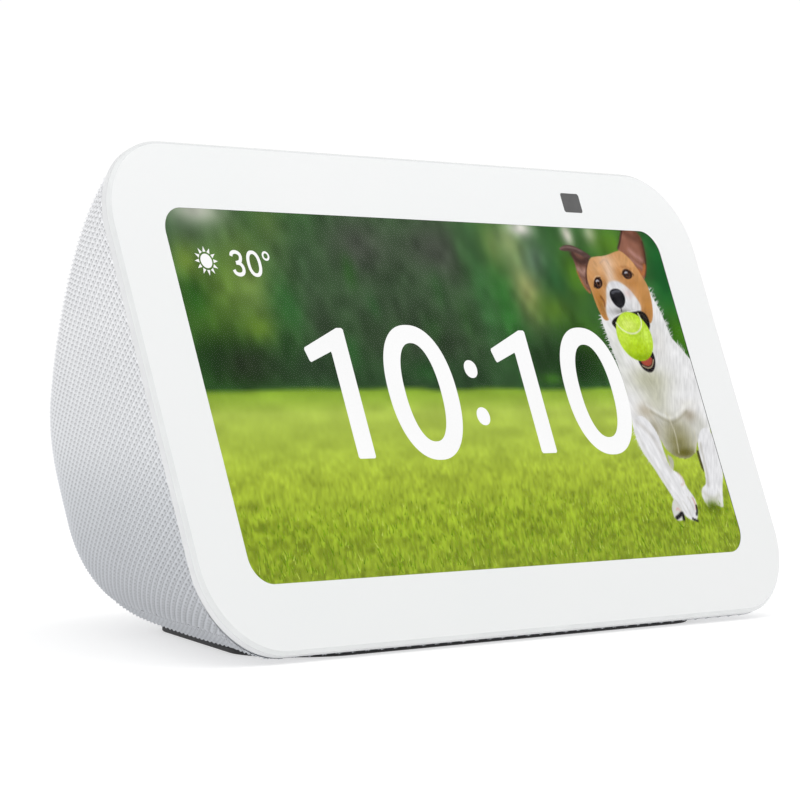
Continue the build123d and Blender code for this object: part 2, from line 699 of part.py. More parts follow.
# ------------------------------------------------------------------ speaker
GASKET = 0.4
FLANGE = 1.0
GASKET_BACK = BAFFLE_BACK + GASKET
FLANGE_BACK = GASKET_BACK + FLANGE
HOLE_RADIUS = 20.4
DRIVER_RADIUS = 22.0
BASKET_DEEP = 36.0
MAGNET_FRONT = 27.5
MAGNET_RADIUS = 11.5
GAP_INNER = 6.2
GAP_OUTER = 7.7
SPEAKER = side_plane(0, SPEAKER_HEIGHT)
SPEAKER_AXIS = Axis(SPEAKER.origin, INTO_BODY)
SPEAKER_SCREW_SPREAD = 18.2
SPEAKER_SCREWS = [
    (x * SPEAKER_SCREW_SPREAD, SPEAKER_HEIGHT + y * SPEAKER_SCREW_SPREAD)
    for x in (-1, 1)
    for y in (-1, 1)
]
SPEAKER_SCREW_HEAD = (1.5, 0.9)
SPEAKER_SCREW_SHANK = (0.7, 3.2)
LEAD_HOLE = (31.0, -8.0)
LEAD_HOLE_RADIUS = 2.6
BASKET_FLANGE = (41.2, 41.2, 3.0)
BASKET_INNER = 19.0
BASKET_OUTER = 19.9
BASKET_KNEE = 3.0
BASKET_INNER_KNEE = 3.2
BASKET_SHEET = 0.8
THROAT_OUTER = 14.5
THROAT_INNER = 13.7
MAGNET_SEAT = 8.2
BASKET_WINDOWS = 6
BASKET_WINDOW_RADIUS = 2.6
BASKET_WINDOW_SPREAD = 17.5
BASKET_WINDOW_START = 1.5
BASKET_WINDOW_END = 4.0
YOKE = 3.0
MAGNET_GAP = 0.05
MAGNET_BACK = BASKET_DEEP - MAGNET_GAP
YOKE_BACK = MAGNET_FRONT + YOKE


def revolved(name, *outlines):
    """Turn closed (depth, radius) outlines about the speaker's axis."""
    with BuildPart() as turned:
        with BuildSketch(SPEAKER):
            for points in outlines:
                with BuildLine():
                    Polyline(*points, close=True)
                make_face()
        revolve(axis=SPEAKER_AXIS)
    save(turned.part, name)


inside_body = body_solid(SEAM, HOUSING_INSIDE + INSIDE_FIT)
with BuildPart() as speaker_baffle:
    with BuildSketch(at_depth(BAFFLE_BACK)):
        Rectangle(2 * FACE_WIDTH, 2 * FACE_WIDTH)
    extrude(amount=BAFFLE_BACK - BAFFLE_FRONT)
    add(inside_body, mode=Mode.INTERSECT)
    with BuildSketch(at_depth(BAFFLE_BACK)):
        with Locations((0, SPEAKER_HEIGHT)):
            Circle(HOLE_RADIUS)
        with Locations(LEAD_HOLE):
            Circle(LEAD_HOLE_RADIUS)
        with Locations(*SPEAKER_SCREWS):
            Circle(SCREW_HOLE)
    extrude(amount=BAFFLE_BACK - BAFFLE_FRONT, mode=Mode.SUBTRACT)
save(speaker_baffle.part, "speaker_baffle")

revolved(
    "speaker_gasket",
    [
        (BAFFLE_BACK, HOLE_RADIUS),
        (GASKET_BACK, HOLE_RADIUS),
        (GASKET_BACK, DRIVER_RADIUS),
        (BAFFLE_BACK, DRIVER_RADIUS),
    ],
)

with BuildPart() as speaker_basket:
    with BuildSketch(at_depth(FLANGE_BACK)):
        with Locations((0, SPEAKER_HEIGHT)):
            RectangleRounded(*BASKET_FLANGE)
            Circle(DRIVER_RADIUS)
            Circle(BASKET_INNER, mode=Mode.SUBTRACT)
        with Locations(*SPEAKER_SCREWS):
            Circle(SCREW_HOLE, mode=Mode.SUBTRACT)
    extrude(amount=FLANGE_BACK - GASKET_BACK)
    with BuildSketch(SPEAKER):
        with BuildLine():
            Polyline(
                (GASKET_BACK, BASKET_INNER),
                (GASKET_BACK, BASKET_OUTER),
                (BASKET_DEEP + BASKET_KNEE, THROAT_OUTER),
                (BASKET_DEEP, THROAT_OUTER),
                (BASKET_DEEP, MAGNET_SEAT),
                (BASKET_DEEP + BASKET_SHEET, MAGNET_SEAT),
                (BASKET_DEEP + BASKET_SHEET, THROAT_INNER),
                (BASKET_DEEP + BASKET_INNER_KNEE, THROAT_INNER),
                close=True,
            )
        make_face()
    revolve(axis=SPEAKER_AXIS)
    with BuildSketch(at_depth(BASKET_DEEP + BASKET_WINDOW_START)):
        with Locations((0, SPEAKER_HEIGHT)):
            with PolarLocations(BASKET_WINDOW_SPREAD, BASKET_WINDOWS):
                Circle(BASKET_WINDOW_RADIUS)
    extrude(amount=-(GASKET_BACK - BASKET_DEEP - BASKET_WINDOW_END), mode=Mode.SUBTRACT)
save(speaker_basket.part, "speaker_basket")

revolved(
    "speaker_magnet",
    [
        (MAGNET_FRONT, 0),
        (MAGNET_BACK, 0),
        (MAGNET_BACK, GAP_INNER),
        (YOKE_BACK, GAP_INNER),
        (YOKE_BACK, GAP_OUTER),
        (MAGNET_BACK, GAP_OUTER),
        (MAGNET_BACK, MAGNET_RADIUS),
        (MAGNET_FRONT, MAGNET_RADIUS),
    ],
)

# Profiles of the moving parts as (depth, radius) pairs.
CONE_PROFILE = [
    (33.0, 6.7),
    (33.0, 7.1),
    (40.2, 7.1),
    (46.3, 15.6),
    (47.0, 15.6),
    (47.0, 15.0),
    (40.9, 6.5),
    (44.6, 3.2),
    (45.2, 0),
    (44.6, 0),
    (44.1, 3.0),
    (40.3, 6.7),
]
RIM_FRONT = FLANGE_BACK + 0.05
RIM_REAR = FLANGE_BACK + 0.5
SURROUND_PROFILE = [
    (46.6, 16.0),
    (48.6, 16.7),
    (49.3, 17.8),
    (48.6, 18.9),
    (RIM_FRONT, 19.3),
    (RIM_FRONT, 20.4),
    (RIM_REAR, 20.4),
    (RIM_REAR, 19.7),
    (49.0, 19.2),
    (49.9, 17.8),
    (49.0, 16.4),
    (47.1, 16.0),
]
SPIDER_PROFILE = [(38.2, 8.0), (38.6, 8.0), (38.6, 13.6), (38.2, 13.6)]

revolved("speaker_cone", CONE_PROFILE)
revolved("speaker_surround", SURROUND_PROFILE)
revolved("speaker_spider", SPIDER_PROFILE)

make_screws(
    "speaker_screws", at_depth(FLANGE_BACK), SPEAKER_SCREWS, SPEAKER_SCREW_HEAD, SPEAKER_SCREW_SHANK
)

# ------------------------------------------------------------------ power inlet
JACK_BACK = 74.4
JACK_FRONT = 62.0
JACK_BOARD_FRONT = 60.8
POST_SPREAD = 9.4
INLET_EDGE = 0.3
JACK_WIDTH = 9.0
JACK_FLOOR = 2.0
JACK_PIN = 1.0
JACK_TIP_SPACE = 1.5
JACK_TIP_RADIUS = 1.5
JACK_BOARD_SIZE = (24.0, 11.0, 1.0)
JACK_BOARD_HOLE = 0.75
JACK_SCREW_HEAD = (1.4, 0.8)
JACK_SCREW_SHANK = (0.7, 6.0)
POSTS = [(-POST_SPREAD, INLET_HEIGHT), (POST_SPREAD, INLET_HEIGHT)]

with BuildPart() as inlet_bezel:
    with BuildSketch(at_depth(INLET_MOUTH)):
        with Locations((0, INLET_HEIGHT)):
            Circle(INLET_RADIUS + INLET_WALL)
            Circle(INLET_RADIUS, mode=Mode.SUBTRACT)
    extrude(amount=INLET_MOUTH - INLET_FLOOR)
    rim = inlet_bezel.faces().sort_by(FRONT_TO_BACK)[-1].edges().sort_by(SortBy.RADIUS)[-1]
    chamfer(rim, INLET_EDGE)
save(inlet_bezel.part, "inlet_bezel")

with BuildPart() as power_jack:
    with BuildSketch(at_depth(JACK_BACK)):
        with Locations((0, INLET_HEIGHT)):
            Rectangle(JACK_WIDTH, JACK_WIDTH)
            Circle(JACK_BORE, mode=Mode.SUBTRACT)
            Circle(JACK_PIN)
    extrude(amount=JACK_BACK - JACK_FRONT - JACK_FLOOR)
    with BuildSketch(at_depth(JACK_FRONT + JACK_FLOOR)):
        with Locations((0, INLET_HEIGHT)):
            Rectangle(JACK_WIDTH, JACK_WIDTH)
    extrude(amount=JACK_FLOOR)
    with BuildSketch(at_depth(JACK_BACK)):
        with Locations((0, INLET_HEIGHT)):
            Circle(JACK_TIP_RADIUS)
    extrude(amount=JACK_TIP_SPACE, mode=Mode.SUBTRACT)
save(power_jack.part, "power_jack")

with BuildPart() as jack_board:
    with BuildSketch(at_depth(JACK_FRONT)):
        with Locations((0, INLET_HEIGHT)):
            RectangleRounded(*JACK_BOARD_SIZE)
        with Locations(*POSTS):
            Circle(JACK_BOARD_HOLE, mode=Mode.SUBTRACT)
    extrude(amount=JACK_FRONT - JACK_BOARD_FRONT)
save(jack_board.part, "jack_board")

# ------------------------------------------------------------------ inner leads
CONNECTOR_BACK = 13.2
LEAD_RADIUS = 0.6
POWER_LEAD_PITCH = 1.6
SPEAKER_LEAD_PITCH = 2.2
LEAD_BEND = 2.2
CONNECTOR_SIZE = (6.0, 4.0)
LEAD_X = LEAD_HOLE[0]
LEAD_HEIGHT = LEAD_HOLE[1]

with BuildPart() as board_connectors:
    with BuildSketch(at_depth(CONNECTOR_BACK)):
        with Locations((-LEAD_X, LEAD_HEIGHT), (LEAD_X, LEAD_HEIGHT)):
            Rectangle(*CONNECTOR_SIZE)
    extrude(amount=CONNECTOR_BACK - BOARD_BACK)
save(board_connectors.part, "board_connectors")


def lead_pair(name, pitch, points):
    """Two round leads side by side along points of (x, height, depth)."""
    with BuildPart() as pair:
        for shift in (-pitch / 2, pitch / 2):
            corners = [FACE.from_local_coords(Vector(x + shift, y, -depth)) for x, y, depth in points]
            with BuildLine() as route:
                FilletPolyline(*corners, radius=LEAD_BEND)
            with BuildSketch(Plane(route.line @ 0, z_dir=route.line % 0)):
                Circle(LEAD_RADIUS)
            sweep()
    save(pair.part, name)


POWER_ROUTE = [
    (5.0, -2.5, JACK_BOARD_FRONT),
    (5.0, -2.5, 55.5),
    (LEAD_X, LEAD_HEIGHT, 53.5),
    (LEAD_X, LEAD_HEIGHT, CONNECTOR_BACK),
]
SPEAKER_LEAD_X = -(MAGNET_RADIUS + 2.3)
SPEAKER_ROUTE = [
    (SPEAKER_LEAD_X, SPEAKER_HEIGHT, BASKET_DEEP),
    (SPEAKER_LEAD_X, SPEAKER_HEIGHT, 31.0),
    (-LEAD_X, LEAD_HEIGHT, 26.0),
    (-LEAD_X, LEAD_HEIGHT, CONNECTOR_BACK),
]
lead_pair("power_leads", POWER_LEAD_PITCH, POWER_ROUTE)
lead_pair("speaker_leads", SPEAKER_LEAD_PITCH, SPEAKER_ROUTE)

# ------------------------------------------------------------------ rear housing and cloth
BASE_SCREWS = [(-33.0, -36.6), (33.0, -36.6), (-17.0, 13.0), (17.0, 13.0)]
BASE_SCREW_HOLE = 1.05
CLOTH_OPENING = 2.0
FLOOR_OPENING = 8.0
GRILLE_MIDDLE = 24.0
GRILLE_COLUMNS = 5
GRILLE_ROWS = 4
GRILLE_PITCH = 4.2
GRILLE_HOLE = 1.1
RECESS_FIT = 0.15
RECESS_FLOOR = STRIP_PLATE + 0.05
RECESS_STEP = 0.45
RECESS_REACH = 2.0
INNER_RECESS = HOUSING_INSIDE + 3.0
BEYOND = 1.0
INLET_FIT = 0.05
POST_OUTER = 2.0
POST_LAP = 0.5
POST_HOLE_DEEP = 8.0
FLOOR_CUT = 5.0
CLOTH_CUT = 2.0


def strip_recess(clearance, floor):
    """Cut the control strip's pocket, down to a floor measured from the skin."""
    with BuildSketch(STRIP.offset(RECESS_REACH)) as pocket:
        with Locations((STRIP_CENTRE, 0)):
            SlotOverall(STRIP_LENGTH + 2 * clearance, STRIP_WIDTH + 2 * clearance)
    extrude(pocket.sketch, amount=-RECESS_REACH - floor, mode=Mode.SUBTRACT)


def inlet_hole():
    """Cut the round hole that the inlet bezel sits in."""
    with BuildSketch(at_depth(BODY_DEPTH + BEYOND)) as hole:
        with Locations((0, INLET_HEIGHT)):
            Circle(INLET_RADIUS + INLET_WALL + INLET_FIT)
    extrude(hole.sketch, amount=BODY_DEPTH + BEYOND - JACK_BACK, mode=Mode.SUBTRACT)


housing_body = body_solid(SEAM, HOUSING_SKIN)
housing_hollow = body_solid(SEAM, HOUSING_INSIDE)
with BuildPart() as rear_housing:
    add(housing_body)
    add(housing_hollow, mode=Mode.SUBTRACT)
    with BuildSketch(at_depth(BODY_DEPTH - HOUSING_INSIDE + POST_LAP)):
        with Locations(*POSTS):
            Circle(POST_OUTER)
    extrude(amount=BODY_DEPTH - HOUSING_INSIDE + POST_LAP - JACK_FRONT)
    with BuildSketch(at_depth(JACK_FRONT + POST_HOLE_DEEP)):
        with Locations(*POSTS):
            Circle(SCREW_HOLE)
    extrude(amount=POST_HOLE_DEEP, mode=Mode.SUBTRACT)
    strip_recess(RECESS_FIT, RECESS_FLOOR)
    strip_recess(-RECESS_STEP, INNER_RECESS)
    inlet_hole()
    with BuildSketch(Plane.XY):
        add(foot_outline(FLOOR_OPENING))
        with Locations(*BASE_SCREWS):
            Circle(BASE_SCREW_HOLE)
    extrude(amount=FOOT_HEIGHT + FLOOR_CUT, mode=Mode.SUBTRACT)
    with BuildSketch(at_depth(BODY_DEPTH + BEYOND)):
        with Locations((-GRILLE_MIDDLE, INLET_HEIGHT), (GRILLE_MIDDLE, INLET_HEIGHT)):
            with GridLocations(GRILLE_PITCH, GRILLE_PITCH, GRILLE_COLUMNS, GRILLE_ROWS):
                Circle(GRILLE_HOLE)
    extrude(amount=REAR_START - BODY_DEPTH, mode=Mode.SUBTRACT)
save(rear_housing.part, "rear_housing")

outer_body = body_solid(SEAM, 0)
cloth_hollow = body_solid(SEAM, CLOTH)
with BuildPart() as fabric_cover:
    add(outer_body)
    add(cloth_hollow, mode=Mode.SUBTRACT)
    strip_recess(RECESS_FIT, RECESS_FLOOR)
    inlet_hole()
    with BuildSketch(Plane.XY):
        add(foot_outline(CLOTH_OPENING))
    extrude(amount=FOOT_HEIGHT + CLOTH_CUT, mode=Mode.SUBTRACT)
save(fabric_cover.part, "fabric_cover")

make_screws("jack_screws", at_depth(JACK_BOARD_FRONT), POSTS, JACK_SCREW_HEAD, JACK_SCREW_SHANK, way=-1)

# ------------------------------------------------------------------ base plate and foot
BASE_BOTTOM = FOOT_HEIGHT + 0.05
FLANGE_TOP = BASE_BOTTOM + 0.85
BASE_TOP = 4.0
BASE_FIT = 0.3
HEAD_DROP = 0.45
HEAD_RADIUS = 2.0
HEAD_FIT = 0.2
BASE_SCREW_SHANK = (1.0, 3.0)
SCREW_SEAT = BASE_BOTTOM + HEAD_DROP + 0.05
FOOT_EDGE = 0.2

with BuildPart() as base_plate:
    with BuildSketch(Plane.XY.offset(BASE_BOTTOM)):
        add(foot_outline(CLOTH_OPENING + BASE_FIT))
    extrude(amount=FLANGE_TOP - BASE_BOTTOM)
    with BuildSketch(Plane.XY.offset(FLANGE_TOP)):
        add(foot_outline(FLOOR_OPENING + BASE_FIT))
    extrude(amount=BASE_TOP - FLANGE_TOP)
    with BuildSketch(Plane.XY.offset(BASE_BOTTOM)):
        with Locations(*BASE_SCREWS):
            Circle(BASE_SCREW_HOLE)
    extrude(amount=BASE_TOP - BASE_BOTTOM, mode=Mode.SUBTRACT)
    with BuildSketch(Plane.XY.offset(BASE_BOTTOM)):
        with Locations(*BASE_SCREWS):
            Circle(HEAD_RADIUS + HEAD_FIT)
    extrude(amount=SCREW_SEAT - BASE_BOTTOM, mode=Mode.SUBTRACT)
save(base_plate.part, "base_plate")

with BuildPart() as rubber_foot:
    with BuildSketch(Plane.XY):
        add(foot_outline(0))
    extrude(amount=FOOT_HEIGHT)
    chamfer(rubber_foot.faces().sort_by(UPWARDS)[0].edges(), FOOT_EDGE)
save(rubber_foot.part, "rubber_foot")

make_screws(
    "base_screws", Plane.XY.offset(SCREW_SEAT), BASE_SCREWS, (HEAD_RADIUS, HEAD_DROP), BASE_SCREW_SHANK
)
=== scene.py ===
import json
import math

import bmesh
import bpy
import numpy as np
from mathutils import Matrix, Vector

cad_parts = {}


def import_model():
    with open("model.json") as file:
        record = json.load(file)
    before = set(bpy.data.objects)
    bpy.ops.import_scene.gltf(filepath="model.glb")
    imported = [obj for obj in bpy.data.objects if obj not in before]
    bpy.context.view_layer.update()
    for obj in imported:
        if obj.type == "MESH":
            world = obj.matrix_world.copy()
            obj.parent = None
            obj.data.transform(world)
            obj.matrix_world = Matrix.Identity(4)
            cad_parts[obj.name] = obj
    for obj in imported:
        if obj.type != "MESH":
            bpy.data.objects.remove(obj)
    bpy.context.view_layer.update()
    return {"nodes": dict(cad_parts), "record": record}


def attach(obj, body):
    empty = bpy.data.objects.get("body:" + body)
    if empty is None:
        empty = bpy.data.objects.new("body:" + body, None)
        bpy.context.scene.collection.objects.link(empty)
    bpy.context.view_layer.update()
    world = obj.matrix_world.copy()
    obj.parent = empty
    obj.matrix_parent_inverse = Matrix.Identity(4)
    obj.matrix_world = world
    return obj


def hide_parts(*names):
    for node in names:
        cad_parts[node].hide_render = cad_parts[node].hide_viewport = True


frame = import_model()
MM = 0.001
# Height that 1 stands for on the painted shade ramps of the knit and the print.
SHADE_HEIGHT = 0.08

# ---------------------------------------------------------------- the body's own laws, in mm
RAKE = math.radians(20.0)
SCREEN_CENTRE = np.array((0.0, -31.0, 41.45))
RIGHT = np.array((1.0, 0.0, 0.0))
UP_SLOPE = np.array((0.0, math.sin(RAKE), math.cos(RAKE)))
INWARD = np.array((0.0, math.cos(RAKE), -math.sin(RAKE)))
HALF_WIDTH = 73.5
WIDTH_TAPER = 42.84
WIDTH_POWER = 1.194
BODY_TOP = 42.3
TOP_TAPER = 26.26
TOP_POWER = 1.512
BODY_BOTTOM = -43.24
BODY_CORNER = 14.0
CORNER_GROWTH = 0.055
CORNER_SHARE = 0.48
REAR_HALF_WIDTH = 19.8
REAR_HALF_HEIGHT = 13.08
BODY_DEPTH = 80.0
REAR_START = 51.56
SEAM = 1.95
STRIP_DEPTH = 9.0
STRIP_CENTRE = 7.5
STRIP_LENGTH = 99.0
STRIP_WIDTH = 8.2
INLET_HEIGHT = 0.9588
INLET_HOLE = 6.6
SCREEN = (124.95, 62.475, 4.5)
FACE = (147.0, 85.3, 15.0, 0.15)
CAMERA_WINDOW = (40.45, 36.1, 5.1, 3.75, 0.5)


def world(u, v, d):
    """Face coordinates in mm (right, up the slope, depth behind the glass) to metres in the row frame."""
    u, v, d = np.broadcast_arrays(np.asarray(u, float), v, d)
    points = SCREEN_CENTRE + u[..., None] * RIGHT + v[..., None] * UP_SLOPE + d[..., None] * INWARD
    return points * MM


def section(d):
    """Half width, top, bottom and corner radius of the body at a depth."""
    d = np.asarray(d, float)
    share = np.clip(d, 0, None) / BODY_DEPTH
    half = HALF_WIDTH - WIDTH_TAPER * share**WIDTH_POWER
    top = BODY_TOP - TOP_TAPER * share**TOP_POWER
    low = BODY_BOTTOM + d * math.tan(RAKE)
    into = np.clip((d - REAR_START) / (BODY_DEPTH - REAR_START), 0, 1)
    rounding = 1 - np.sqrt(1 - into**2)
    half = half - REAR_HALF_WIDTH * rounding
    top = top - REAR_HALF_HEIGHT * rounding
    low = low + REAR_HALF_HEIGHT * rounding
    most = CORNER_SHARE * np.minimum(top - low, 2 * half)
    corner = np.minimum(BODY_CORNER + CORNER_GROWTH * d, most)
    return half, top, low, corner


def ring(d, inset, fractions):
    """Points round the section at depth d, by share of its length, starting at the middle of its floor."""
    half, top, low, corner = (float(x) for x in section(d))
    half, top, low, corner = half - inset, top - inset, low + inset, max(corner - inset, 0.5)
    middle, tall = (top + low) / 2, (top - low) / 2
    flat_w, flat_h, arc = half - corner, tall - corner, math.pi * corner / 2
    lengths = np.array([flat_w, arc, 2 * flat_h, arc, 2 * flat_w, arc, 2 * flat_h, arc, flat_w])
    ends = np.concatenate([[0], np.cumsum(lengths)])
    run = fractions * ends[-1]
    part = np.clip(np.searchsorted(ends, run, side="right") - 1, 0, 8)
    along = run - ends[part]
    u = np.zeros_like(run)
    v = np.zeros_like(run)
    straight = {0: (0, -tall, 1, 0), 2: (half, -flat_h, 0, 1), 4: (flat_w, tall, -1, 0),
                6: (-half, flat_h, 0, -1), 8: (-flat_w, -tall, 1, 0)}
    for number, (u0, v0, du, dv) in straight.items():
        at = part == number
        u[at] = u0 + du * along[at]
        v[at] = v0 + dv * along[at]
    bends = {1: (flat_w, -flat_h, -90), 3: (flat_w, flat_h, 0), 5: (-flat_w, flat_h, 90), 7: (-flat_w, -flat_h, 180)}
    for number, (u0, v0, start) in bends.items():
        at = part == number
        angle = math.radians(start) + along[at] / corner
        u[at] = u0 + corner * np.cos(angle)
        v[at] = v0 + corner * np.sin(angle)
    return u, v + middle, ends[-1]


def box_distance(u, v, half_u, half_v, corner):
    """Signed distance to a round-cornered rectangle."""
    qu, qv = np.abs(u) - half_u + corner, np.abs(v) - half_v + corner
    return np.hypot(np.maximum(qu, 0), np.maximum(qv, 0)) + np.minimum(np.maximum(qu, qv), 0) - corner


def rear_depth(u, v):
    """Depth of the body's skin straight behind a point of the face plane."""
    low, high = np.zeros_like(u), np.full_like(u, BODY_DEPTH)
    for _ in range(26):
        d = (low + high) / 2
        half, top, bottom, corner = section(d)
        inside = box_distance(u, v - (top + bottom) / 2, half, (top - bottom) / 2, corner) < 0
        low, high = np.where(inside, d, low), np.where(inside, high, d)
    return (low + high) / 2


# ---------------------------------------------------------------- mesh and material helpers
def new_piece(name, verts, faces, body="housing", uv=None, paint=None, smooth=True):
    """A mesh piece in metres, with optional per-vertex uv pairs and colours."""
    mesh = bpy.data.meshes.new(name)
    mesh.from_pydata([tuple(map(float, p)) for p in verts], [], [tuple(map(int, f)) for f in faces])
    mesh.update()
    if uv is not None:
        layer = mesh.uv_layers.new(name="UVMap")
        loops = np.empty(len(mesh.loops), int)
        mesh.loops.foreach_get("vertex_index", loops)
        layer.data.foreach_set("uv", np.asarray(uv, np.float32)[loops].ravel())
    if paint is not None:
        layer = mesh.color_attributes.new("paint", "FLOAT_COLOR", "POINT")
        rgba = np.ones((len(verts), 4), np.float32)
        rgba[:, :3] = paint
        layer.data.foreach_set("color", rgba.ravel())
    mesh.polygons.foreach_set("use_smooth", [smooth] * len(mesh.polygons))
    piece = bpy.data.objects.new(name, mesh)
    bpy.context.scene.collection.objects.link(piece)
    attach(piece, body)
    return piece


def material(name):
    """A node material: returns the material, its node tree and its Principled shader."""
    made = bpy.data.materials.new(name)
    made.use_nodes = True
    tree = made.node_tree
    return made, tree, tree.nodes["Principled BSDF"]


def node(tree, kind, operation=None, **values):
    made = tree.nodes.new(kind)
    if operation:
        made.operation = operation
    for key, value in values.items():
        if key.startswith("in_"):
            made.inputs[int(key[3:])].default_value = value
        else:
            setattr(made, key, value)
    return made


def math_node(tree, operation, a, b=None, clamp=False):
    """A Math node: each argument is a socket or a number."""
    made = node(tree, "ShaderNodeMath", operation)
    made.use_clamp = clamp
    for slot_number, value in enumerate((a, b)):
        if value is None:
            continue
        if isinstance(value, (int, float)):
            made.inputs[slot_number].default_value = value
        else:
            tree.links.new(value, made.inputs[slot_number])
    return made.outputs[0]


def noise(tree, scale, detail=3.0, rough=0.5, stretch=(1, 1, 1)):
    """3-D noise in object space; scale is in features per metre."""
    place = node(tree, "ShaderNodeTexCoord")
    spread = node(tree, "ShaderNodeMapping")
    spread.inputs["Scale"].default_value = stretch
    tree.links.new(place.outputs["Object"], spread.inputs["Vector"])
    made = node(tree, "ShaderNodeTexNoise")
    made.inputs["Scale"].default_value = scale
    made.inputs["Detail"].default_value = detail
    made.inputs["Roughness"].default_value = rough
    tree.links.new(spread.outputs["Vector"], made.inputs["Vector"])
    return made.outputs["Fac"]


def ramp(tree, value, stops):
    """Colour ramp from (position, colour) stops; colours are linear triples."""
    made = node(tree, "ShaderNodeValToRGB")
    elements = made.color_ramp.elements
    while len(elements) < len(stops):
        elements.new(0.5)
    for element, (position, colour) in zip(elements, stops):
        element.position = position
        element.color = (*colour, 1)
    tree.links.new(value, made.inputs["Fac"])
    return made.outputs["Color"]


def grey(value):
    return (value, value, value)


def linear(red, green, blue):
    """Linear colour from 0-255 display values."""
    return tuple(((c / 255 + 0.055) / 1.055) ** 2.4 if c > 10 else c / 255 / 12.92 for c in (red, green, blue))


def bump(tree, shader, height, strength, distance):
    made = node(tree, "ShaderNodeBump")
    made.inputs["Strength"].default_value = strength
    made.inputs["Distance"].default_value = distance
    tree.links.new(height, made.inputs["Height"])
    tree.links.new(made.outputs["Normal"], shader.inputs["Normal"])


def multiplied(tree, one, other):
    """The product of two colours."""
    mix = node(tree, "ShaderNodeMix", data_type="RGBA", blend_type="MULTIPLY")
    mix.inputs["Factor"].default_value = 1.0
    tree.links.new(one, mix.inputs["A"])
    tree.links.new(other, mix.inputs["B"])
    return mix.outputs["Result"]


def shade_by_height(tree, colour, stops):
    """Multiply a colour by painted shade that changes with height above the table; 1 on the ramp is 80 mm up."""
    place = node(tree, "ShaderNodeTexCoord")
    split = node(tree, "ShaderNodeSeparateXYZ")
    tree.links.new(place.outputs["Object"], split.inputs["Vector"])
    return multiplied(tree, colour, ramp(tree, math_node(tree, "DIVIDE", split.outputs["Z"], SHADE_HEIGHT), stops))


def finish_of(name, dark, light, rough, scale=900.0, grain=0.12, metal=0.0, coat=0.0, distance=0.00006,
              stretch=(1, 1, 1)):
    """A moulded or sheet finish: colour drifts between two tones, roughness and surface follow a fine grain."""
    made, tree, shader = material(name)
    drift = noise(tree, scale * 0.12, 4.0, 0.55, stretch)
    tree.links.new(ramp(tree, drift, [(0.3, dark), (0.7, light)]), shader.inputs["Base Color"])
    fine = noise(tree, scale, 3.0, 0.6, stretch)
    tree.links.new(ramp(tree, fine, [(0.25, grey(rough[0])), (0.75, grey(rough[1]))]), shader.inputs["Roughness"])
    bump(tree, shader, fine, grain, distance)
    shader.inputs["Metallic"].default_value = metal
    shader.inputs["Coat Weight"].default_value = coat
    shader.inputs["Coat Roughness"].default_value = 0.06
    return made


def bands(levels, count):
    """Quads joining successive loops of equal count."""
    faces = []
    for level in range(levels - 1):
        for number in range(count):
            after = (number + 1) % count
            low = level * count
            faces.append((low + number, low + after, low + count + after, low + count + number))
    return faces


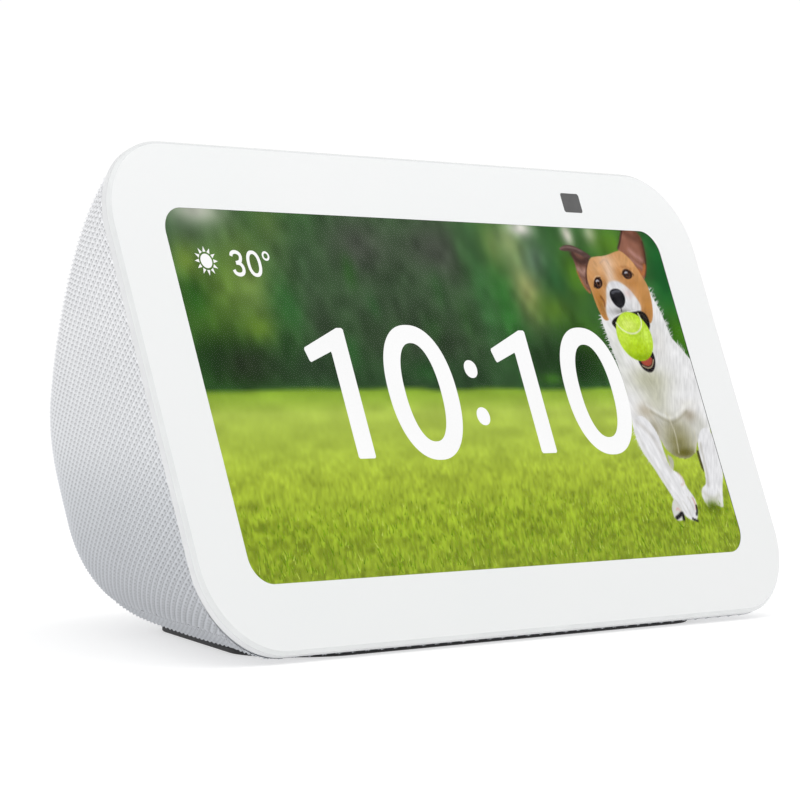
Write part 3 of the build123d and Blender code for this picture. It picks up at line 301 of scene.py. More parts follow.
# ---------------------------------------------------------------- finishes of the CAD nodes
# Slot, material, darker and lighter tone, roughness range, grain per metre, grain strength and anything more.
FINISH_ROWS = [
    ("frame_white", "frame_white", (214, 215, 216), (221, 222, 223), (0.42, 0.55), 2600, 0.10, {}),
    ("button_white", "button_white", (226, 227, 228), (234, 235, 236), (0.38, 0.5), 2600, 0.10, {}),
    ("housing_white", "housing_white", (206, 207, 208), (216, 217, 218), (0.5, 0.62), 1800, 0.2, {}),
    ("black_rubber", "black_rubber", (16, 16, 18), (28, 28, 30), (0.6, 0.78), 3200, 0.35, dict(distance=0.0001)),
    ("dark_plastic", "dark_plastic", (44, 45, 48), (58, 59, 62), (0.45, 0.6), 2200, 0.25, {}),
    ("cream_plastic", "cream_plastic", (216, 208, 188), (228, 221, 203), (0.35, 0.48), 2000, 0.1, {}),
    ("screen", "panel_dark", (16, 17, 20), (26, 27, 30), (0.2, 0.3), 900, 0.05, {}),
    ("acrylic", "acrylic", (214, 224, 226), (232, 238, 240), (0.12, 0.2), 600, 0.04, dict(coat=0.6)),
    ("tin_sheet", "tin_sheet", (168, 170, 172), (192, 194, 196), (0.28, 0.42), 1400, 0.12, dict(metal=1.0,
        stretch=(1, 8, 8))),
    ("can_metal", "can_metal", (172, 172, 168), (196, 196, 192), (0.25, 0.4), 1600, 0.12, dict(metal=1.0,
        stretch=(6, 1, 1))),
    ("zinc", "zinc", (150, 152, 158), (186, 188, 194), (0.25, 0.42), 4000, 0.2, dict(metal=1.0)),
    ("magnet_grey", "magnet_grey", (64, 66, 70), (86, 88, 92), (0.35, 0.5), 1800, 0.2, dict(metal=0.8)),
    ("black_foam", "black_foam", (22, 22, 24), (40, 40, 42), (0.85, 0.95), 5200, 0.7, dict(distance=0.00015)),
    ("circuit_board", "circuit_board", (12, 62, 40), (20, 84, 54), (0.3, 0.42), 2600, 0.12, dict(coat=0.4)),
    ("chip_black", "chip_black", (24, 24, 27), (38, 38, 41), (0.4, 0.55), 3600, 0.15, {}),
    ("lens_glass", "lens_glass", (12, 14, 22), (28, 26, 44), (0.04, 0.08), 400, 0.02, dict(coat=1.0)),
    ("thermal_grey", "thermal_grey", (128, 132, 138), (146, 150, 156), (0.7, 0.85), 3400, 0.3, {}),
    ("ribbon_amber", "ribbon_amber", (168, 96, 26), (196, 122, 44), (0.3, 0.42), 2200, 0.12, dict(stretch=(14, 1,
        1))),
    ("cone_black", "cone_black", (26, 26, 28), (40, 40, 43), (0.65, 0.8), 2600, 0.4, dict(distance=0.0001)),
    ("surround_rubber", "surround_rubber", (20, 20, 22), (32, 32, 34), (0.5, 0.64), 1500, 0.15, {}),
    ("spider_cloth", "spider_cloth", (176, 138, 72), (202, 164, 96), (0.8, 0.92), 4200, 0.5, dict(distance=0.00012)),
    ("lead_red", "lead_red", (158, 24, 22), (186, 36, 32), (0.35, 0.5), 2600, 0.12, {}),
    ("lead_black", "lead_black", (22, 22, 24), (36, 36, 38), (0.4, 0.55), 2600, 0.12, {}),
]
FINISHES = {
    slot: finish_of(name, linear(*dark), linear(*light), rough, scale, grain, **more)
    for slot, name, dark, light, rough, scale, grain, more in FINISH_ROWS
}


for part in frame["record"]["subparts"]:
    finish = FINISHES.get(part["material_slot"])
    if finish:
        thing = frame["nodes"][part["node"]]
        thing.data.materials.clear()
        thing.data.materials.append(finish)

# ---------------------------------------------------------------- knitted cover
# The knit is a skewed lattice: every lattice point is a small opening, except where both counts are odd,
# which is a thicker knot. A course runs back along the body and falls a little; a wale leans back as it rises.
WALE = np.array((0.29, 0.625))
COURSE = np.array((0.685, -0.15))
BACK_RING = 66.2
FRONT_RING = SEAM + 0.12
KNOT_RISE = 0.2
HOLE_DROP = 0.14
COURSE_SWELL = 0.05
EDGE_FADE = 0.8
STRIP_SLOPE = math.radians(9.2135)
STRIP_ORIGIN = np.array((0.0, 41.3348, STRIP_DEPTH))
FOOT = (60.6, -41.5, 28.5, 18.0, 11.5)
FOOT_INSET = 2.0
UNDERSIDE_LIFT = 0.6
LIFT_START = 1.5
LIFT_END = 12.0
LIFT_RUN = 9.0


def strip_distance(u, v, d):
    """Signed distance from the control strip's pocket edge, in the strip's own plane."""
    back = (d - STRIP_DEPTH) * math.cos(STRIP_SLOPE) - (v - STRIP_ORIGIN[1]) * math.sin(STRIP_SLOPE)
    along = np.maximum(np.abs(u - STRIP_CENTRE) - (STRIP_LENGTH - STRIP_WIDTH) / 2, 0)
    distance = np.hypot(along, back) - STRIP_WIDTH / 2 - 0.15
    return np.where(v > 20, distance, 50.0)


def foot_distance(u, v, d):
    """Signed distance from the opening over the foot, on the floor plane."""
    front_half, front, rear_half, rear, corner = FOOT
    corner -= FOOT_INSET
    points = world(u, v, d) / MM
    x, y = np.abs(points[..., 0]), points[..., 1]
    slope = math.atan2(front_half - rear_half, rear - front)
    turns = (slope, math.pi / 2, -math.pi / 2)
    sides = ((x - rear_half) * math.cos(slope) + (y - rear) * math.sin(slope) + FOOT_INSET,
             y - rear + FOOT_INSET, front + FOOT_INSET - y)
    distance = np.maximum(np.maximum(sides[0], sides[1]), sides[2])
    for other in (1, 2):
        cosine = math.cos(turns[0] - turns[other])
        p, q = sides[0] + corner, sides[other] + corner
        reach = np.sqrt(np.maximum(p * p + q * q - 2 * p * q * cosine, 0)) / math.sqrt(1 - cosine * cosine)
        distance = np.where((q > p * cosine) & (p > q * cosine), reach - corner, distance)
    return np.where(points[..., 2] < 6.0, distance, 50.0)


def inlet_distance(u, v, d):
    return np.where(d > 60, np.hypot(u, v - INLET_HEIGHT) - INLET_HOLE, 50.0)


def lifted(points, d):
    """Raise the underside of the cloth a little behind the frame, so that the dark base shows below it."""
    low = np.clip((LIFT_END - points[..., 2] / MM) / (LIFT_END - LIFT_START), 0, 1)
    share = low * np.clip((d - SEAM) / LIFT_RUN, 0, 1)
    points[..., 2] += UNDERSIDE_LIFT * MM * share * share * (3 - 2 * share)
    return points


def wall_place(side):
    """Map from depth and height to a point of a side wall, and how far inside the wall's corners it is."""
    def place(d, t):
        half, top, low, corner = section(d)
        middle, flat = (top + low) / 2, (top - low) / 2 - corner
        beyond = np.maximum(np.abs(t - middle) - flat, 0)
        turn = beyond / corner
        u = side * (half - corner + corner * np.cos(turn))
        v = np.where(beyond > 0, middle + np.sign(t - middle) * (flat + corner * np.sin(turn)), t)
        return u, v, flat + corner * math.pi / 4 - np.abs(t - middle)
    return place


def roof_place(way):
    """The same for the top (way 1) or the floor (way -1) of the body."""
    def place(d, t):
        half, top, low, corner = section(d)
        flat = half - corner
        beyond = np.maximum(np.abs(t) - flat, 0)
        turn = beyond / corner
        drop = corner - corner * np.cos(turn)
        u = np.where(beyond > 0, np.sign(t) * (flat + corner * np.sin(turn)), t)
        v = np.where(way > 0, top - drop, low + drop)
        return u, v, flat + corner * math.pi / 4 - np.abs(t)
    return place


def back_place(d, t):
    """The round back, by sideways distance and height."""
    half, top, low, corner = (float(a) for a in section(BACK_RING))
    return d, t, -box_distance(d, t - (top + low) / 2, half, (top - low) / 2, corner)


def clip(points, faces, field):
    """Cut triangles along the zero line of a field, keeping its positive side; rows of points are blended."""
    keep = field >= 0
    counts = keep[faces].sum(1)
    whole = faces[counts == 3].tolist()
    rows, cuts = [points], {}
    total = len(points)

    def cut(a, b):
        nonlocal total
        key = (min(a, b), max(a, b))
        if key not in cuts:
            share = field[a] / (field[a] - field[b])
            rows.append((points[a] + share * (points[b] - points[a]))[None])
            cuts[key] = total
            total += 1
        return cuts[key]

    for face in faces[(counts > 0) & (counts < 3)].tolist():
        loop = []
        for number, a in enumerate(face):
            b = face[(number + 1) % 3]
            if keep[a]:
                loop.append(a)
            if keep[a] != keep[b]:
                loop.append(cut(a, b))
        whole += [[loop[0], loop[k], loop[k + 1]] for k in range(1, len(loop) - 1)]
    return np.concatenate(rows), np.array(whole)


def knit_patch(place, reach, depth_of, back=False):
    """One patch of knit: world points, triangles and lattice counts."""
    (s0, s1), (t0, t1) = reach
    inverse = np.linalg.inv(np.stack([WALE, COURSE], 1))
    ends = np.array([inverse @ (s, t) for s in (s0, s1) for t in (t0, t1)])
    m = np.arange(math.floor(ends[:, 0].min()), math.ceil(ends[:, 0].max()) + 1)
    n = np.arange(math.floor(ends[:, 1].min()), math.ceil(ends[:, 1].max()) + 1)
    mm, nn = np.meshgrid(m, n, indexing="ij")
    s = mm * WALE[0] + nn * COURSE[0]
    t = mm * WALE[1] + nn * COURSE[1]
    number = np.arange(s.size).reshape(s.shape)
    quads = np.stack([number[:-1, :-1], number[1:, :-1], number[1:, 1:], number[:-1, 1:]], -1).reshape(-1, 4)
    faces = np.concatenate([quads[:, [0, 1, 2]], quads[:, [0, 2, 3]]])
    points = np.stack([s.ravel(), t.ravel(), mm.ravel(), nn.ravel()], 1)
    near = (points[:, 0] > s0 - 1.2) & (points[:, 0] < s1 + 1.2) & (points[:, 1] > t0 - 1.2) & (points[:,
        1] < t1 + 1.2)
    faces = faces[near[faces].all(1)]

    def fields(rows):
        first = rows[:, 0] if back else depth_of(np.clip(rows[:, 0], s0 - 2, s1 + 2))
        u, v, margin = place(first, rows[:, 1])
        d = depth_of(u, v) if back else first
        edges = [margin, strip_distance(u, v, d), foot_distance(u, v, d), inlet_distance(u, v, d)]
        if not back:
            edges += [rows[:, 0] - s0, s1 - rows[:, 0]]
        return lifted(world(u, v, d), d), edges

    for number in range(4 if back else 6):
        field = fields(points)[1][number]
        points, faces = clip(points, faces, np.where(np.abs(field) < 0.03, 0.0, field))
    used = np.unique(faces)
    index = np.full(len(points), -1)
    index[used] = np.arange(len(used))
    points, faces = points[used], index[faces]
    flat, edges = fields(points)
    shifted = [fields(points + np.array(step))[0] - flat for step in ((0.01, 0, 0, 0), (0, 0.01, 0, 0))]
    normals = np.cross(*shifted)
    normals /= np.linalg.norm(normals, axis=1, keepdims=True)
    if (normals * (flat - np.array((0, 0, 0.035)))).sum() < 0:
        normals = -normals
    a, b, c = flat[faces[:, 0]], flat[faces[:, 1]], flat[faces[:, 2]]
    if (np.cross(b - a, c - a) * normals[faces[:, 0]]).sum() < 0:
        faces = faces[:, ::-1]
    fade = np.clip(np.min(edges, 0) / EDGE_FADE, 0, 1)
    odd = np.cos(np.pi * points[:, 2]), np.cos(np.pi * points[:, 3])
    knot = (1 - odd[0]) * (1 - odd[1]) / 4
    swell = (np.cos(np.pi * (points[:, 2] + points[:, 3])) - odd[1]) * COURSE_SWELL
    rise = (knot * (KNOT_RISE + HOLE_DROP) - HOLE_DROP + swell) * fade
    return flat + normals * (rise * MM)[:, None], faces, points[:, 2:]


def arc_length(rise_of):
    """Pair of functions' shared table: arc length along the body for a profile given by depth."""
    depths = np.linspace(SEAM, BACK_RING + 2, 800)
    lengths = np.concatenate([[0], np.cumsum(np.hypot(np.diff(depths), np.diff(rise_of(depths))))])
    start = np.interp(FRONT_RING, depths, lengths)
    end = np.interp(BACK_RING, depths, lengths)
    return (start, end), lambda s: np.interp(s, lengths, depths)


def knit_cover():
    """Side walls, top and floor as four patches in one piece, then the back and the hem behind the frame."""
    wall_reach, wall_depth = arc_length(lambda d: section(d)[0])
    top_reach, top_depth = arc_length(lambda d: section(d)[1])
    floor_reach, floor_depth = arc_length(lambda d: section(d)[2])
    patches = [
        (wall_place(-1), (wall_reach, (-50, 52)), wall_depth),
        (wall_place(1), (wall_reach, (-50, 52)), wall_depth),
        (roof_place(1), (top_reach, (-74, 74)), top_depth),
        (roof_place(-1), (floor_reach, (-74, 74)), floor_depth),
    ]
    verts, faces, counts, start = [], [], [], 0
    for patch in patches:
        points, triangles, lattice = knit_patch(*patch)
        verts.append(points)
        faces.append(triangles + start)
        counts.append(lattice)
        start += len(points)
    half, top, low, _ = (float(a) for a in section(BACK_RING))
    reach = ((-half - 1, half + 1), (low - 1, top + 1))
    back, back_faces, back_lattice = knit_patch(back_place, reach, rear_depth, True)
    fractions = np.arange(480) / 480
    rings = []
    for depth, inset in ((FRONT_RING + 0.5, 0.14), (FRONT_RING, 0.12), (SEAM + 0.03, 0.3), (SEAM + 0.03, 1.6)):
        u, v, _ = ring(depth, inset, fractions)
        rings.append(world(u, v, depth))
    return [
        new_piece("knit_cover", np.concatenate(verts), np.concatenate(faces), uv=np.concatenate(counts)),
        new_piece("knit_back", back, back_faces, uv=back_lattice),
        new_piece("knit_hem", np.concatenate(rings), [face[::-1] for face in bands(4, 480)], uv=np.ones((4 * 480,
            2))),
    ]


# Darkest tone of the painted shade along the courses.
COURSE_SHADE_DARK = 0.70
# Painted shade: the knit darkens towards the table, by height; a ramp position of 1 is 80 mm up.
KNIT_SHADE_TONES = [(0.075, linear(202, 204, 207)), (0.17, linear(214, 216, 219)), (0.3, linear(228, 230, 232)),
              (0.41, linear(245, 246, 247)), (0.65, grey(1.0))]


def knit_material():
    """Pale knit: openings with painted shade, round yarns with fibres, thicker knots, slow tone drift, painted shade
    along the courses and painted shade towards the table.
    """
    made, tree, shader = material("light_knit")
    uv = node(tree, "ShaderNodeUVMap", uv_map="UVMap")
    split = node(tree, "ShaderNodeSeparateXYZ")
    tree.links.new(uv.outputs["UV"], split.inputs["Vector"])
    x, y = split.outputs["X"], split.outputs["Y"]
    rx, ry = math_node(tree, "ROUND", x), math_node(tree, "ROUND", y)
    dx = math_node(tree, "DIVIDE", math_node(tree, "SUBTRACT", x, rx), 0.56)
    dy = math_node(tree, "DIVIDE", math_node(tree, "SUBTRACT", y, ry), 0.74)
    away = math_node(tree, "SQRT", math_node(tree, "ADD", math_node(tree, "MULTIPLY", dx, dx),
                                             math_node(tree, "MULTIPLY", dy, dy)))
    both = math_node(tree, "MULTIPLY", math_node(tree, "PINGPONG", rx, 1.0), math_node(tree, "PINGPONG", ry, 1.0))
    away = math_node(tree, "ADD", away, math_node(tree, "MULTIPLY", both, 2.0))
    ragged = math_node(tree, "MULTIPLY", math_node(tree, "SUBTRACT", noise(tree, 2600, 2.0), 0.5), 0.3)
    away = math_node(tree, "ADD", away, ragged)
    drift = noise(tree, 60, 4.0)
    fibre = noise(tree, 9000, 3.0, 0.65)
    fleck = math_node(tree, "ADD", math_node(tree, "MULTIPLY", fibre, 0.7), math_node(tree, "MULTIPLY", drift, 0.3))
    yarn = ramp(tree, fleck,
                [(0.3, linear(240, 241, 244)), (0.7, linear(249, 250, 252))])
    # The openings are darkened in colour: painted shade inside the holes.
    opening = ramp(tree, away, [(0.2, grey(0.58)), (0.42, grey(0.78)), (0.66, grey(0.98)), (0.9, grey(1.0))])
    # Painted shade along the courses: banded darkening standing in for the shading of the rib relief.
    waves = [math_node(tree, "COSINE", math_node(tree, "MULTIPLY", part, math.pi))
             for part in (y, math_node(tree, "ADD", x, y))]
    swell = math_node(tree, "SUBTRACT", waves[1], math_node(tree, "MULTIPLY", waves[0], 1.15))
    course_shade = ramp(tree, math_node(tree, "ADD", math_node(tree, "MULTIPLY", swell, 0.23), 0.5),
                  [(0.0, grey(COURSE_SHADE_DARK)), (0.5, grey(0.90)), (1.0, grey(1.0))])
    cloth = multiplied(tree, yarn, multiplied(tree, opening, course_shade))
    # Painted shade that darkens the knit towards the table.
    tree.links.new(shade_by_height(tree, cloth, KNIT_SHADE_TONES), shader.inputs["Base Color"])
    tree.links.new(ramp(tree, fibre, [(0.2, grey(0.78)), (0.8, grey(0.95))]), shader.inputs["Roughness"])
    height = math_node(tree, "ADD", math_node(tree, "MINIMUM", away, 0.8), math_node(tree, "MULTIPLY", fibre, 0.15))
    bump(tree, shader, height, 0.45, 0.0002)
    return made


KNIT = knit_material()
for cloth_piece in knit_cover():
    cloth_piece.data.materials.append(KNIT)
    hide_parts("fabric_cover")

# ---------------------------------------------------------------- printed glass front
BEVEL = 0.55
CORNER_STEPS = 22
PICTURE_DEPTH = 0.12


def loop_points(width, height, corner, inset, centre=(0.0, 0.0)):
    """Points round a round-cornered rectangle, anticlockwise, the same number whatever its size."""
    half_u, half_v, r = width / 2 - inset, height / 2 - inset, max(corner - inset, 0.05)
    points = []
    for number, (su, sv) in enumerate(((1, 1), (-1, 1), (-1, -1), (1, -1))):
        for step in range(CORNER_STEPS + 1):
            angle = math.pi / 2 * (number + step / CORNER_STEPS)
            points.append((centre[0] + su * (half_u - r) + r * math.cos(angle),
                           centre[1] + sv * (half_v - r) + r * math.sin(angle)))
    return points


def fill_between(outer, holes):
    """Triangles of the flat region inside the outer loop and outside the holes, as index triples."""
    bm = bmesh.new()
    for points in [outer] + holes:
        verts = [bm.verts.new((u, v, 0)) for u, v in points]
        for number, vert in enumerate(verts):
            bm.edges.new((vert, verts[(number + 1) % len(verts)]))
    bm.verts.index_update()
    bmesh.ops.triangle_fill(bm, use_beauty=True, edges=bm.edges[:])
    bm.verts.index_update()
    faces = [[v.index for v in f.verts] for f in bm.faces]
    spots = np.array([vert.co[:2] for vert in bm.verts])
    bm.free()
    return [face if turns_left(*spots[face]) else face[::-1] for face in faces]


def turns_left(a, b, c):
    return (b[0] - a[0]) * (c[1] - a[1]) > (b[1] - a[1]) * (c[0] - a[0])


def loft_loops(name, loops, finish, cap_last=False, smooth=True):
    """A piece lofted through loops given as (points, depth)."""
    count = len(loops[0][0])
    verts = np.concatenate([world([p[0] for p in pts], [p[1] for p in pts], depth) for pts, depth in loops])
    faces = bands(len(loops), count)
    if cap_last:
        faces.append(tuple(range((len(loops) - 1) * count, len(loops) * count)))
    piece = new_piece(name, verts, faces, smooth=smooth)
    piece.data.materials.append(finish)
    return piece


# Painted shade: the white print darkens slightly towards the bottom, by height.
PRINT_SHADE_TONES = [(0.0, grey(0.895)), (0.3, grey(0.905)), (0.8, grey(0.93)), (1.0, grey(0.955))]


def printed_glass():
    """White ink under clear glass: near-even white with painted shade that darkens it slightly towards the bottom, a
    soft gloss above it, a faint ripple.
    """
    made, tree, shader = material("white_print")
    drift = noise(tree, 25, 3.0)
    tones = ramp(tree, drift, [(0.3, linear(244, 246, 246)), (0.7, linear(246, 247, 247))])
    # Painted shade towards the bottom.
    tree.links.new(shade_by_height(tree, tones, PRINT_SHADE_TONES), shader.inputs["Base Color"])
    fine = noise(tree, 1500, 2.0)
    tree.links.new(ramp(tree, fine, [(0.2, grey(0.34)), (0.8, grey(0.42))]), shader.inputs["Roughness"])
    shader.inputs["Coat Weight"].default_value = 0.35
    shader.inputs["Coat Roughness"].default_value = 0.08
    bump(tree, shader, drift, 0.02, 0.0001)
    return made


WHITE_PRINT = printed_glass()
GLASS_EDGE = finish_of("glass_edge", linear(219, 221, 221), linear(226, 228, 228), (0.18, 0.26), 1400, 0.05, coat=0.5)
WINDOW_EDGE = finish_of("window_edge", linear(52, 56, 54), linear(70, 74, 72), (0.3, 0.4), 1400, 0.05)


def clear_pane():
    """Clear glass seen as a thin film: light passes, with a Fresnel gloss on top."""
    made, tree, shader = material("clear_glass")
    tree.nodes.remove(shader)
    out = tree.nodes["Material Output"]
    through = node(tree, "ShaderNodeBsdfTransparent")
    tree.links.new(ramp(tree, noise(tree, 40, 2.0), [(0.3, grey(0.97)), (0.7, grey(1.0))]), through.inputs["Color"])
    gloss = node(tree, "ShaderNodeBsdfGlossy")
    tree.links.new(ramp(tree, noise(tree, 700, 2.0), [(0.2, grey(0.03)), (0.8, grey(0.06))]),
                   gloss.inputs["Roughness"])
    fresnel = node(tree, "ShaderNodeFresnel")
    fresnel.inputs["IOR"].default_value = 1.1
    blend = node(tree, "ShaderNodeMixShader")
    tree.links.new(fresnel.outputs["Fac"], blend.inputs["Fac"])
    tree.links.new(through.outputs[0], blend.inputs[1])
    tree.links.new(gloss.outputs[0], blend.inputs[2])
    tree.links.new(blend.outputs[0], out.inputs["Surface"])
    return made


def smoked_pane():
    """The dark grey film over the camera: almost opaque, with a dull gloss."""
    made, tree, shader = material("camera_glass")
    tint = noise(tree, 500, 2.0)
    film = ramp(tree, tint, [(0.3, linear(86, 86, 86)), (0.7, linear(92, 92, 92))])
    dull = ramp(tree, noise(tree, 1600, 2.0), [(0.2, grey(0.4)), (0.8, grey(0.5))])
    tree.links.new(film, shader.inputs["Base Color"])
    tree.links.new(dull, shader.inputs["Roughness"])
    shader.inputs["Alpha"].default_value = 0.9
    bump(tree, shader, tint, 0.05, 0.00005)
    return made


def glass_front():
    """The printed border with its bevel, then the two windows with their edges and panes."""
    face_w, face_h, face_r, face_mid = FACE
    insets = (BEVEL + 0.06, BEVEL - 0.04, 0.05, 0.0, 0.0, 1.3)
    depths = (0.0, 0.035, BEVEL - 0.03, BEVEL + 0.04, 0.7, 0.7)
    outer = [loop_points(face_w, face_h, face_r, inset, (0, face_mid)) for inset in insets]
    cam_u, cam_v, cam_w, cam_h, cam_r = CAMERA_WINDOW

    def screen(inset):
        return loop_points(*SCREEN, inset)

    def eye(inset):
        return loop_points(cam_w, cam_h, cam_r, inset, (cam_u, cam_v))

    points = outer[0] + screen(0.0) + eye(0.0)
    verts = world([p[0] for p in points], [p[1] for p in points], 0.0)
    border = new_piece("glass_border", verts, fill_between(outer[0], [screen(0.0), eye(0.0)]), smooth=False)
    border.data.materials.append(WHITE_PRINT)
    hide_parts("cover_glass", "border_print")
    loft_loops("glass_bevel", list(zip(outer, depths)), GLASS_EDGE)
    loft_loops("screen_window_edge", [(screen(0.0), 0.0), (screen(0.0), 0.3)], WINDOW_EDGE)
    loft_loops("camera_window_edge", [(eye(0.0), 0.0), (eye(0.0), 0.78)], WINDOW_EDGE)
    screen_loops = [(screen(0.02), 0.06), (screen(0.02), 0.015), (screen(0.05), 0.006)]
    eye_loops = [(eye(0.02), 0.10), (eye(0.02), 0.02), (eye(0.06), 0.006)]
    loft_loops("screen_pane", screen_loops, clear_pane(), True, False)
    loft_loops("camera_pane", eye_loops, smoked_pane(), True, False)


glass_front()

# ---------------------------------------------------------------- the lit picture
# Painted in picture units, 1240 across the screen and 620 down it; the dog is drawn in thirds of a unit.
UNITS = 1240 / SCREEN[0]
DOG_LEFT = 780.0
DOG_SCALE = 3.0


def at_picture(x, y, depth):
    return world((np.asarray(x, float) - 620) / UNITS, (310 - np.asarray(y, float)) / UNITS, depth)


def value_noise(x, y, cell_x, cell_y, seed):
    """Smooth noise from 0 to 1 with cells of the given size."""
    grid = np.random.default_rng(seed).random((97, 89))
    column, row = np.floor(x / cell_x).astype(int), np.floor(y / cell_y).astype(int)
    s, t = x / cell_x - column, y / cell_y - row
    s, t = s * s * (3 - 2 * s), t * t * (3 - 2 * t)
    corner = [grid[(row + dy) % 97, (column + dx) % 89] for dy in (0, 1) for dx in (0, 1)]
    return (corner[0] * (1 - s) + corner[1] * s) * (1 - t) + (corner[2] * (1 - s) + corner[3] * s) * t


def smoothed(points, rounds, closed):
    """Corner-cut copy of an outline or a line."""
    loop = np.array(points, float)
    for _ in range(rounds):
        after = np.roll(loop, -1, 0)
        cut = np.stack([0.75 * loop + 0.25 * after, 0.25 * loop + 0.75 * after], 1).reshape(-1, 2)
        loop = cut if closed else np.concatenate([loop[:1], cut[:-2], loop[-1:]])
    return loop


def edge_distance(x, y, loop, closed):
    """Distance to a line, signed positive inside when it is closed."""
    away = np.full(x.shape, 1e9)
    inside = np.zeros(x.shape, bool)
    ends = np.roll(loop, -1, 0) if closed else loop[1:]
    for (ax, ay), (bx, by) in zip(loop, ends):
        ex, ey = bx - ax, by - ay
        run = np.clip(((x - ax) * ex + (y - ay) * ey) / max(ex * ex + ey * ey, 1e-9), 0, 1)
        away = np.minimum(away, np.hypot(x - ax - run * ex, y - ay - run * ey))
        if closed and ay != by:
            inside ^= ((ay > y) != (by > y)) & (x < ax + (y - ay) * ex / ey)
    return np.where(inside, away, -away) if closed else away


def lay(colour, x, y, points, tint, feather=3.0, strength=1.0, width=None, rounds=2):
    """Lay a tint over the points inside an outline, or near a line when a width is given."""
    loop = smoothed(points, rounds, width is None)
    reach = 2 * feather + (width or 0)
    near = np.flatnonzero((x > loop[:, 0].min() - reach) & (x < loop[:, 0].max() + reach)
                          & (y > loop[:, 1].min() - reach) & (y < loop[:, 1].max() + reach))
    away = edge_distance(x[near], y[near], loop, width is None)
    if width is not None:
        away = width / 2 - away
    share = np.clip(0.5 + away / (2 * feather), 0, 1)
    share = (share * share * (3 - 2 * share) * strength)[:, None]
    colour[near] += share * (np.asarray(tint, float) - colour[near])


def dab(colour, x, y, centre, radii, tint, strength=1.0, where=None):
    """Lay a soft round patch of a tint."""
    share = np.exp(-((x - centre[0]) / radii[0]) ** 2 - ((y - centre[1]) / radii[1]) ** 2) * strength
    if where is not None:
        share = share * where
    colour += share[:, None] * (np.asarray(tint, float) - colour)


TREE_DABS = [
    ((60, 40), (130, 80), (84, 108, 80)), ((60, 200), (90, 90), (70, 104, 40)), ((110, 130), (60, 70), (92, 122, 52)),
    ((30, 92), (34, 34), (104, 130, 56)), ((80, 2), (60, 24), (178, 182, 168)), ((165, 120), (50, 80), (112, 138,
        66)),
    ((232, 35), (34, 60), (96, 126, 62)), ((250, 100), (60, 110), (72, 98, 60)), ((238, 165), (40, 46), (52, 116,
        50)),
    ((292, 100), (34, 70), (64, 96, 60)), ((300, 190), (40, 70), (54, 72, 50)), ((430, 60), (110, 90), (72, 78, 68)),
    ((620, 60), (120, 90), (74, 80, 70)), ((500, 150), (240, 60), (64, 84, 60)), ((520, 230), (250, 70), (54, 68,
        50)),
    ((540, 285), (260, 36), (46, 70, 44)), ((712, 130), (28, 110), (60, 102, 58)), ((768, 150), (34, 110), (56,
        116, 52)),
    ((772, 40), (30, 46), (100, 128, 70)), ((836, 120), (36, 62), (160, 166, 104)), ((872, 62), (44, 42), (90,
        116, 92)),
    ((818, 34), (34, 40), (132, 152, 100)), ((922, 108), (30, 40), (50, 96, 54)), ((892, 160), (50, 30), (84, 118,
        44)),
    ((975, 90), (30, 50), (72, 112, 34)), ((960, 215), (60, 50), (56, 94, 30)), ((860, 6), (34, 17), (206, 204, 196)),
    ((985, 14), (17, 24), (200, 198, 184)), ((1053, 12), (20, 20), (208, 206, 196)), ((1100, 30), (60, 40), (86,
        128, 40)),
    ((1228, 90), (40, 110), (26, 92, 40)), ((1228, 205), (36, 50), (62, 112, 22)), ((835, 250), (70, 40), (42, 66,
        38)),
    ((905, 262), (80, 40), (30, 56, 26)), ((50, 262), (110, 50), (36, 66, 32)), ((110, 262), (70, 34), (42, 54, 36)),
    ((240, 268), (90, 34), (44, 62, 42)), ((832, 288), (30, 10), (60, 104, 38)),
]
LEAF_DABS = [
    ((392, 100), (16, 30), (62, 108, 52)), ((470, 215), (20, 22), (60, 100, 54)), ((345, 240), (26, 30), (52, 98,
        50)),
    ((520, 275), (30, 18), (48, 92, 46)), ((600, 130), (18, 34), (58, 92, 54)), ((655, 180), (22, 40), (56, 88, 50)),
    ((430, 160), (16, 22), (52, 86, 50)), ((560, 200), (22, 28), (58, 92, 52)), ((690, 60), (20, 50), (66, 100, 60)),
    ((28, 150), (26, 34), (48, 96, 36)), ((150, 200), (34, 22), (96, 126, 44)), ((206, 230), (18, 40), (44, 74, 40)),
]


def paint_background(colour, x, y):
    """Soft trees above, blurred then sharper grass below."""
    colour[:] = (58, 100, 52)
    for centre, radii, tint in TREE_DABS:
        dab(colour, x, y, centre, radii, tint)
    for centre, radii, tint in LEAF_DABS:
        dab(colour, x, y, centre, radii, tint, 0.75)
    blotch = value_noise(x, y, 18, 22, 3) * 0.55 + value_noise(x, y, 52, 46, 4) * 0.45
    colour *= (0.80 + 0.38 * blotch)[:, None]
    line = 303 + 5 * value_noise(x, y * 0, 60, 9, 5)
    ground = np.clip((y - line + 5) / 10, 0, 1)
    grass = np.stack([np.interp(y, (300, 345, 460, 540, 620), tones) for tones in (
        (128, 174, 166, 146, 140), (164, 196, 186, 168, 160), (48, 82, 60, 46, 48))], -1)
    broad = value_noise(x, y, 46, 16, 6) - 0.5
    mid = (value_noise(x, y, 9, 8, 7) - 0.5) * np.clip((y - 330) / 160, 0.15, 1)
    fine = (value_noise(x, y, 3.4, 7.5, 8) - 0.5) * np.clip((y - 380) / 160, 0.1, 1)
    grass *= (1 + 0.14 * broad + 0.15 * mid + 0.36 * fine)[:, None]
    colour += ground[:, None] * (grass - colour)


